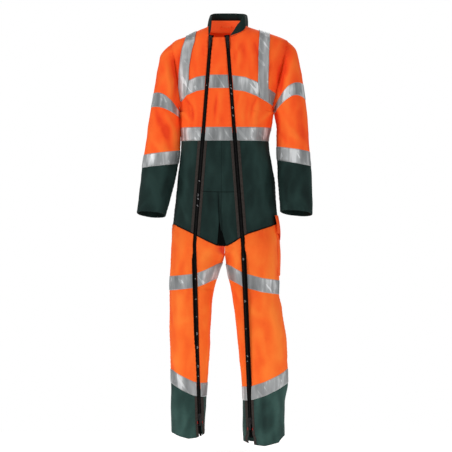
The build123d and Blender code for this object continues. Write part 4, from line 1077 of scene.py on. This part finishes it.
def tube(name, pts, r, material, body=BODY, sides=8, replaces=()):
    pts = np.asarray(pts, float)
    verts, faces = [], []
    tan = np.gradient(pts, axis=0)
    tan /= np.linalg.norm(tan, axis=1, keepdims=True)
    ref = np.array([0.0, 0.0, 1.0])
    n0 = np.cross(tan[0], ref)
    if np.linalg.norm(n0) < 0.1:
        n0 = np.cross(tan[0], [0, 1.0, 0])
    for p, d in zip(pts, tan):
        n0 = n0 - d * n0.dot(d)
        n0 /= np.linalg.norm(n0)
        b = np.cross(d, n0)
        for k in range(sides):
            a = 2 * np.pi * k / sides
            verts.append(p + r * (np.cos(a) * n0 + np.sin(a) * b))
    m = len(pts)
    for i in range(m - 1):
        for k in range(sides):
            k2 = (k + 1) % sides
            faces.append((i * sides + k, i * sides + k2, (i + 1) * sides + k2, (i + 1) * sides + k))
    faces.append(tuple(range(sides))[::-1])
    faces.append(tuple((m - 1) * sides + k for k in range(sides)))
    return mesh_object(name, verts, faces, material, body, True, replaces)


for name in ("hip_front_right", "hip_front_centre_right", "hip_front_centre_left", "hip_front_left"):
    ob, V, N, u, v = hip[name]
    tube("piping_" + name[4:], V[-1] + N[-1] * 1.1 + np.array([0, 0, 0.6]), 1.5, PIPING)



def surface_line(pts, lift_):
    xs, zs = np.array([p[0] for p in pts], float), np.array([p[1] for p in pts], float)
    n_ = max(int(np.hypot(xs[-1] - xs[0], zs[-1] - zs[0]) / 3), 3)
    k = np.linspace(0, len(pts) - 1, n_)
    x, z = np.interp(k, range(len(pts)), xs), np.interp(k, range(len(pts)), zs)
    t = t_of_x("torso", x, z, "front")
    P, N = plain_surf("torso", -z, t), normals("torso", -z, t)
    return P + N * (folds(P) + lift_)[:, None]


# painted shadow: thin black cords along the hip seams stand in for the shade in their grooves
tube("seam_hip_cross_shadow_line", surface_line([(-88, -614), (-60, -615), (0, -616), (40, -615)], 0.15), 0.75, PIPING)
tube("seam_hip_centre_shadow_line", surface_line([(-31, -618), (-30, -670), (-27, -724)], 0.15), 0.75, PIPING)

# bartacks at the lower zip ends
for side, z0 in (("right", -1457.0), ("left", -1481.0)):
    for sign in (-1, 1):
        tt = notch(side, sign, 9.0)(np.array([z0, z0 - 4.5, z0 - 9]))
        pp = np.array([-z0, -z0 + 4.5, -z0 + 9])
        P, N = surf("leg_" + side, pp, tt), normals("leg_" + side, pp, tt)
        tube(f"bartack_{side}_{'a' if sign < 0 else 'b'}", np.concatenate([P + N * 1.9]), 1.2, RED)

# painted shadow: a black sheet inside each hem slit, where the inside of the leg lies in shade
for side, edge in (("right", [(-1446, -110, -84), (-1490, -103, -85), (-1504, -98, -86), (-1514, -93, -88)]),
                   ("left", [(-1461, 76, 100), (-1500, 77, 99), (-1513, 79, 97), (-1519, 83, 95)])):
    rows = []
    for z in np.linspace(edge[0][0], edge[-1][0], 26):
        keys = sorted(edge)
        xa, xb = np.interp(z, [e[0] for e in keys], [e[1] for e in keys]), np.interp(z, [e[0] for e in keys], [e[2] for e in keys])
        xs = np.linspace(xa, xb, 11)
        zz = np.full(11, z)
        t = t_of_x("leg_" + side, xs, zz, "front")
        rows.append(surf("leg_" + side, -zz, t) - normals("leg_" + side, -zz, t) * (3.6 + 0.8 * np.sin(xs / 3.0))[:, None])
    grid_piece("slit_shadow_sheet_" + side, np.array(rows), PIPING, thick=0.8, outward=(0, -1, 0))

# --- zips ---------------------------------------------------------------------


def zip_frame(side, s):
    """Points, directions and outward normals along a zip; s is the length from its top in mm."""
    top, bend, end = (np.array(v[side]) for v in (ZIP_TOP, ZIP_BEND, ZIP_END))
    a, b = (bend - top), (end - bend)
    la, lb = np.linalg.norm(a), np.linalg.norm(b)
    a, b = a / la, b / lb
    P = np.where((s < la)[:, None], top + a * s[:, None], bend + b * (s - la)[:, None])
    k = np.clip((s - la + TWIST) / (2 * TWIST), 0, 1)[:, None]
    d = a * (1 - k) + b * k
    d /= np.linalg.norm(d, axis=1, keepdims=True)
    tilt = np.radians(lerp(ZIP_TILT[(side, 0)], ZIP_TILT[(side, 1)], k[:, 0]))
    n = np.stack([np.sin(tilt), -np.cos(tilt), 0 * tilt], -1)
    n -= d * np.sum(n * d, 1, keepdims=True)
    n /= np.linalg.norm(n, axis=1, keepdims=True)
    # round the bend as the CAD zip does
    P = P + (a - b) * (TWIST / 4) * (np.clip(1 - np.abs(s - la) / TWIST, 0, 1) ** 2)[:, None] * -1.0
    return P, d, n, la + lb


GLINTS = {"left": [(87, 1), (90, 2), (95.5, 2), (108, 3), (117, 2), (258, 3), (299, 3), (327, 1), (354.5, 2), (360, 1)],
          "right": [(87, 1), (181, 2), (194.6, 3), (198.5, 2), (205.5, 2), (278.5, 1), (298, 1), (315, 1), (331.5, 3), (345.5, 3),
                    (364, 3), (375, 1)]}
for side in ("right", "left"):
    total = zip_frame(side, np.array([0.0]))[3]
    s = np.arange(0.0, total + 0.1, 5.0)
    P, d, n, _ = zip_frame(side, s)
    x = np.cross(n, d)
    x *= np.where(x[:, :1] > 0, 1, -1)
    # woven tapes: flat beside the teeth, then under the cloth
    V, F = [], []
    prof = [(0.08, 0.25), (2.6, 0.2), (5.4, 0.0), (6.9, -1.9), (8.2, -3.6), (10.0, -5.2)]
    for sign in (-1, 1):
        rows = np.stack([P + x * (sign * w) + n * h for w, h in prof], 1)
        ob = grid_piece(f"v_zip_tape_{side}_{'a' if sign < 0 else 'b'}", rows, BLACK, thick=0.8,
                        replaces=["zip_tape_" + side] if sign < 0 else (), outward=n[len(n) // 2])
    # teeth: one small moulded element each, staggered across the centre
    verts, faces = [], []
    pitch = 3.0
    for sign in (-1, 1):
        st = np.arange(4.0 + (pitch / 2 if sign > 0 else 0), total - 4, pitch)
        Pt, dt, nt, _ = zip_frame(side, st)
        xt = np.cross(nt, dt)
        xt *= np.where(xt[:, :1] > 0, 1, -1)
        for c, dd, nn, ax in zip(Pt, dt, nt, xt):
            base = len(verts)
            for (w, l, h) in ((-0.9, 0.55, -1.3), (-0.9, 0.55, 1.15), (3.3, 1.0, -1.45), (3.3, 1.0, 1.3)):
                for e in (-1, 1):
                    verts.append(c + ax * (sign * w) + dd * (e * l) + nn * h)
            q = base
            faces += [(q, q + 1, q + 3, q + 2), (q + 4, q + 6, q + 7, q + 5), (q, q + 2, q + 6, q + 4), (q + 1, q + 5, q + 7, q + 3),
                      (q + 2, q + 3, q + 7, q + 6), (q, q + 4, q + 5, q + 1)]
    ob = mesh_object("v_zip_teeth_" + side, verts, faces, TEETH, smooth=False, replaces=["zip_teeth_" + side])
    # painted glints: light metal chips on a few teeth stand in for highlights on the zip
    verts, faces = [], []
    for py, long in GLINTS[side]:
        z = -41 - (py - 37) * 3.7
        k_ = np.argmin(np.abs(P[:, 2] - z))
        c, dd, nn, ax = P[k_], d[k_], n[k_], x[k_]
        for j in range(long):
            cc = c + dd * 3.0 * j + ax * (1.2 if j % 2 else -0.8)
            base = len(verts)
            for w, l, h in ((-2.3, 0.95, 1.0), (-1.6, 0.7, 2.0), (2.3, 0.95, 1.0), (1.6, 0.7, 2.0)):
                for e in (-1, 1):
                    verts.append(cc + ax * w + dd * (e * l) + nn * h)
            q = base
            faces += [(q, q + 1, q + 3, q + 2), (q + 2, q + 3, q + 7, q + 6), (q + 6, q + 7, q + 5, q + 4), (q, q + 4, q + 5, q + 1),
                      (q, q + 2, q + 6, q + 4), (q + 1, q + 5, q + 7, q + 3)]
    mesh_object("zip_painted_glint_teeth_" + side, verts, faces, GLINT_METAL, smooth=False)
    # top and bottom stops
    for w, place in ((2.0, "top"), (total - 3.0, "end")):
        Pt, dt, nt, _ = zip_frame(side, np.array([w - 2.2, w, w + 2.2]))
        xt = np.cross(nt, dt)
        tube(f"zip_stop_{place}_{side}", Pt + nt * 0.3, 2.2, METAL)

# CAD sliders and pull tabs stay, in dark plated metal
for name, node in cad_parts.items():
    if name.startswith(("slider_", "pull_tab_")):
        node.data.materials.clear()
        node.data.materials.append(METAL)

# --- collar -------------------------------------------------------------------
def rim(t, z):
    return (*plain_surf("torso", np.array(-float(z)), np.array(float(t)))[:2], float(z))


key = [rim(t_of_x("torso", np.interp(z, *zip(*NECK_X["right"])), float(z), "front"), z) for z in (-46, -39, -32, -25, -18, -12, -5.6)]
key += [rim(t, -4.4) for t in (0.49, 0.45, 0.40, 0.34, 0.28, 0.22, 0.16, 0.10, 0.05, 0.01)]
key += [rim(t_of_x("torso", np.interp(z, *zip(*NECK_X["left"])), float(z), "front"), z) for z in (-5.6, -10, -15, -20, -24, -29, -34, -38, -42, -46)]
key = np.array([[float(c) for c in k] for k in key])
arc = np.concatenate([[0], np.cumsum(np.linalg.norm(np.diff(key, axis=0), axis=1))])
fine = np.linspace(0, arc[-1], 130)
neck = np.stack([np.interp(fine, arc, key[:, k]) for k in range(3)], -1)
for _ in range(8):
    neck[1:-1] = (neck[:-2] + 2 * neck[1:-1] + neck[2:]) / 4
tan = np.gradient(neck[:, :2], axis=0)
tan /= np.linalg.norm(tan, axis=1, keepdims=True)
out = np.stack([-tan[:, 1], tan[:, 0]], -1)
flip = np.sum(out * (neck[:, :2] - np.array([0, -60])), 1) < 0
out[flip] *= -1


# height of the top edge along the band, from the right front end to the left one
LEFT_TOP = np.interp(neck[:, 0], [13, 22, 30, 38, 46, 54, 60, 65, 69], [-43, -33, -20, -8, 3, 13, 21, 28, 34])
RIGHT_TOP = np.interp(neck[:, 2], [-46, -40, -33, -26, -18, -10, -5.6], [-26, -6, 8, 17, 24, 30, 34])
front_left = (np.arange(130) > 65) & (neck[:, 2] < -5.0)
front_right = (np.arange(130) < 65) & (neck[:, 2] < -5.0)
BACK_TOP = np.interp(neck[:, 1], [-60, -30, -5, 15], [36, 44, 49, 51])
TOP_EDGE = np.where(front_left, LEFT_TOP, np.where(front_right, RIGHT_TOP, BACK_TOP))
for _ in range(6):
    TOP_EDGE[1:-1] = (TOP_EDGE[:-2] + 2 * TOP_EDGE[1:-1] + TOP_EDGE[2:]) / 4


def collar_point(i, off, h):
    """off outward from the band, h from 0 at the neck seam to 1 at the top edge."""
    low = neck[i, 2] + 0.5
    high = max(TOP_EDGE[i], low + 5)
    z = low + (high - low) * h
    lean = (3.0 if neck[i, 0] > 45 else 11.0) * (z - low) / 50
    bulge = 1.6 * math.sin(math.pi * min(max(h, 0), 1))
    return np.array([neck[i, 0] + out[i, 0] * (off - lean + bulge), neck[i, 1] + out[i, 1] * (off - lean + bulge), z])


m = len(neck)
profile = [(0.2, -0.06), (0.2, 0.0), (0.2, 0.25), (0.2, 0.5), (0.2, 0.75), (0.1, 0.93), (-0.6, 0.99), (-1.6, 1.0), (-2.6, 0.985),
           (-3.1, 0.93), (-3.2, 0.75), (-3.2, 0.52)]
V = np.array([[collar_point(i, o, h) for i in range(m)] for o, h in profile])
ob = grid_piece("v_collar_outer", V, GREEN, thick=0.6, replaces=["collar_outer"], outward=None)
profile = [(-2.9, 0.56), (-3.0, 0.4), (-3.2, 0.2), (-3.6, 0.0), (-4.2, -0.18), (-4.6, -0.32)]
V = np.array([[collar_point(i, o, h) for i in range(m)] for o, h in profile])
grid_piece("v_collar_lining", V, LINEN, thick=0.6, replaces=["collar_lining"])
for k, i in (("right", 0), ("left", m - 1)):
    ends = [collar_point(i, o, h) for h in np.linspace(-0.06, 1.0, 8) for o in (0.4, -3.4)]
    arr = np.array(ends).reshape(8, 2, 3)
    grid_piece("collar_end_" + k, arr, GREEN, thick=1.6, offset=0.0)
seam = np.array([[neck[i, 0] + out[i, 0] * 1.2, neck[i, 1] + out[i, 1] * 1.2, neck[i, 2] + 0.9] for i in range(m)])
tube("neck_seam_cord", seam, 1.2, ORANGE_SHADED)

# --- hanger loop ----------------------------------------------------------------
pts = []
corner = [(-19.5, 7.0), (-16, -5.2), (16, -5.2), (19.5, 7.0)]
for i, (x, y) in enumerate(corner):
    if i in (0, 3):
        pts.append((x, y))
    else:
        a, b = np.array(corner[i - 1]), np.array(corner[i + 1])
        c = np.array((x, y))
        u, w = (a - c) / np.linalg.norm(a - c), (b - c) / np.linalg.norm(b - c)
        for k in np.linspace(0, 1, 7):
            p = (1 - k) ** 2 * (c + u * 3.6) + 2 * k * (1 - k) * c + k * k * (c + w * 3.6)
            pts.append(tuple(p))
dense = []
for a, b in zip(pts, pts[1:]):
    n_ = max(int(math.dist(a, b) / 2), 1)
    dense += [(a[0] + (b[0] - a[0]) * k / n_, a[1] + (b[1] - a[1]) * k / n_) for k in range(n_)]
dense.append(pts[-1])
V = np.array([[(x, y, z + 0.15 * math.sin(x)) for x, y in dense] for z in np.linspace(-3.9, 3.9, 7)])
grid_piece("v_hanger_loop", V, LINEN, thick=1.5, replaces=["hanger_loop"], offset=0.0)
for sx, word in ((-1, "right"), (1, "left")):
    tube("loop_bartack_" + word, [(sx * 19.6, 5.0, z) for z in np.linspace(-3.6, 3.6, 5)], 0.9, ORANGE_SHADED)

# --- thigh pocket ---------------------------------------------------------------


def y_line(y):
    return lambda z: t_of_y("leg_left", np.full(np.shape(z), float(y)), z, False)


def pillow(P, u, v):
    uu, vv = u / u[:, -1:], v / v[-1:]
    return 5.2 * (np.sin(np.pi * np.clip(uu, 0, 1)) ** 0.5) * (0.25 + 0.75 * np.sin(np.pi * np.clip(vv * 0.70 + 0.26, 0, 1)) ** 0.6)


cloth("v_pocket_bag", "leg_left", line(-753.0), line(-924.0), y_line(-108.0), fixed(1.068), off=1.2, material=ORANGE_SHADED, thick=1.0,
      replaces=["pocket_bag"], slot="orange_cloth", extra=pillow, step=3.5, seam=(1, 1, 0, 1), fold=0.6)
yy, hh = np.linspace(-134, -14, 36), np.linspace(0, 1, 26)


def flap_point(y, h):
    k = min(max((y + 120) / 26, 0.0), 1.0)
    x = 189.5 + 8.6 * math.sin(math.pi * 0.62 * h) - 0.030 * max(-104 - y, 0) ** 1.75 + 0.35 * math.sin(y / 7.0 + 5 * h) * h
    return x, y, -701.2 - lerp(66.0, 90.0, k * k * (3 - 2 * k)) * h


V = np.array([[flap_point(y, h) for y in yy] for h in hh])
grid_piece("v_pocket_flap", V, ORANGE_SHADED, body="pocket_flap_body", thick=1.3, replaces=["pocket_flap"],
           outward=(1, 0, 0), offset=0.0)

# --- painted shadow: a black sheet laid in the fold where the hip panels meet ----
rows = []
for h in np.linspace(0, 1, 24):
    z = lerp(-722.0, -808.0, h)
    x0, x1 = lerp(-27.0, -34.0, h), lerp(-26.2, -2.5, h ** 1.1)
    xs = np.linspace(x0, x1, 9)
    zs = np.full(9, z)
    t = t_of_x("torso", xs, zs, "front")
    P, N = plain_surf("torso", -zs, t), normals("torso", -zs, t)
    D = folds(P)
    rows.append(P + N * (D + 0.9 + 0.5 * np.sin(np.linspace(0, np.pi, 9)))[:, None])
grid_piece("crotch_fold_shadow_sheet", np.array(rows), PIPING, thick=0.8, outward=(0, -1, 0))

# ---------------------------------------------------------------------------
# floor, light, camera
# ---------------------------------------------------------------------------
bpy.ops.mesh.primitive_plane_add(size=1, location=(0, -0.2, -1.585))
floor = bpy.context.object
floor.name = "floor"
floor.scale = (6, 2.2, 1)
fm = bpy.data.materials.new("floor_pale")
fm.use_nodes = True
fb = fm.node_tree.nodes["Principled BSDF"]
fb.inputs["Base Color"].default_value = (0.92, 0.92, 0.92, 1)
fb.inputs["Roughness"].default_value = 0.8
fb.inputs["Emission Color"].default_value = (1, 1, 1, 1)
fb.inputs["Emission Strength"].default_value = 0.5
floor.data.materials.append(fm)

world = bpy.data.worlds.new("studio")
bpy.context.scene.world = world
world.use_nodes = True
wn = world.node_tree
bg = wn.nodes["Background"]
bg.inputs["Color"].default_value = (1, 1, 1, 1)
bg.inputs["Strength"].default_value = 0.42
white = wn.nodes.new("ShaderNodeBackground")
white.inputs["Color"].default_value = (1, 1, 1, 1)
white.inputs["Strength"].default_value = 1.0
path = wn.nodes.new("ShaderNodeLightPath")
mixs = wn.nodes.new("ShaderNodeMixShader")
wn.links.new(path.outputs["Is Camera Ray"], mixs.inputs[0])
wn.links.new(bg.outputs[0], mixs.inputs[1])
wn.links.new(white.outputs[0], mixs.inputs[2])
wn.links.new(mixs.outputs[0], wn.nodes["World Output"].inputs["Surface"])


def area(name, loc, target, size, power):
    light = bpy.data.lights.new(name, "AREA")
    light.shape = "RECTANGLE"
    light.size, light.size_y = size
    light.energy = power
    ob = bpy.data.objects.new(name, light)
    bpy.context.scene.collection.objects.link(ob)
    ob.location = loc
    ob.rotation_euler = (Vector(target) - Vector(loc)).to_track_quat("-Z", "Y").to_euler()
    return ob


area("key", (-3.2, -2.6, 1.4), (0, 0, -0.7), (1.1, 1.4), 76)
area("fill", (2.4, -3.2, 0.2), (0, 0, -0.8), (1.8, 2.4), 36)
area("rim", (0.4, 2.6, 1.6), (0, 0, -0.6), (2.0, 2.0), 40)

cam = bpy.data.cameras.new("camera")
cam.sensor_width = 36.0
cam.lens = 36.0 * 9.0 / 1.672
cam.clip_end = 60
co = bpy.data.objects.new("camera", cam)
bpy.context.scene.collection.objects.link(co)
co.location = (-0.00185, -0.055 - 9.0, -0.740)
co.rotation_euler = (math.pi / 2, 0, 0)
bpy.context.scene.camera = co
bpy.context.scene.view_settings.view_transform = "Standard"
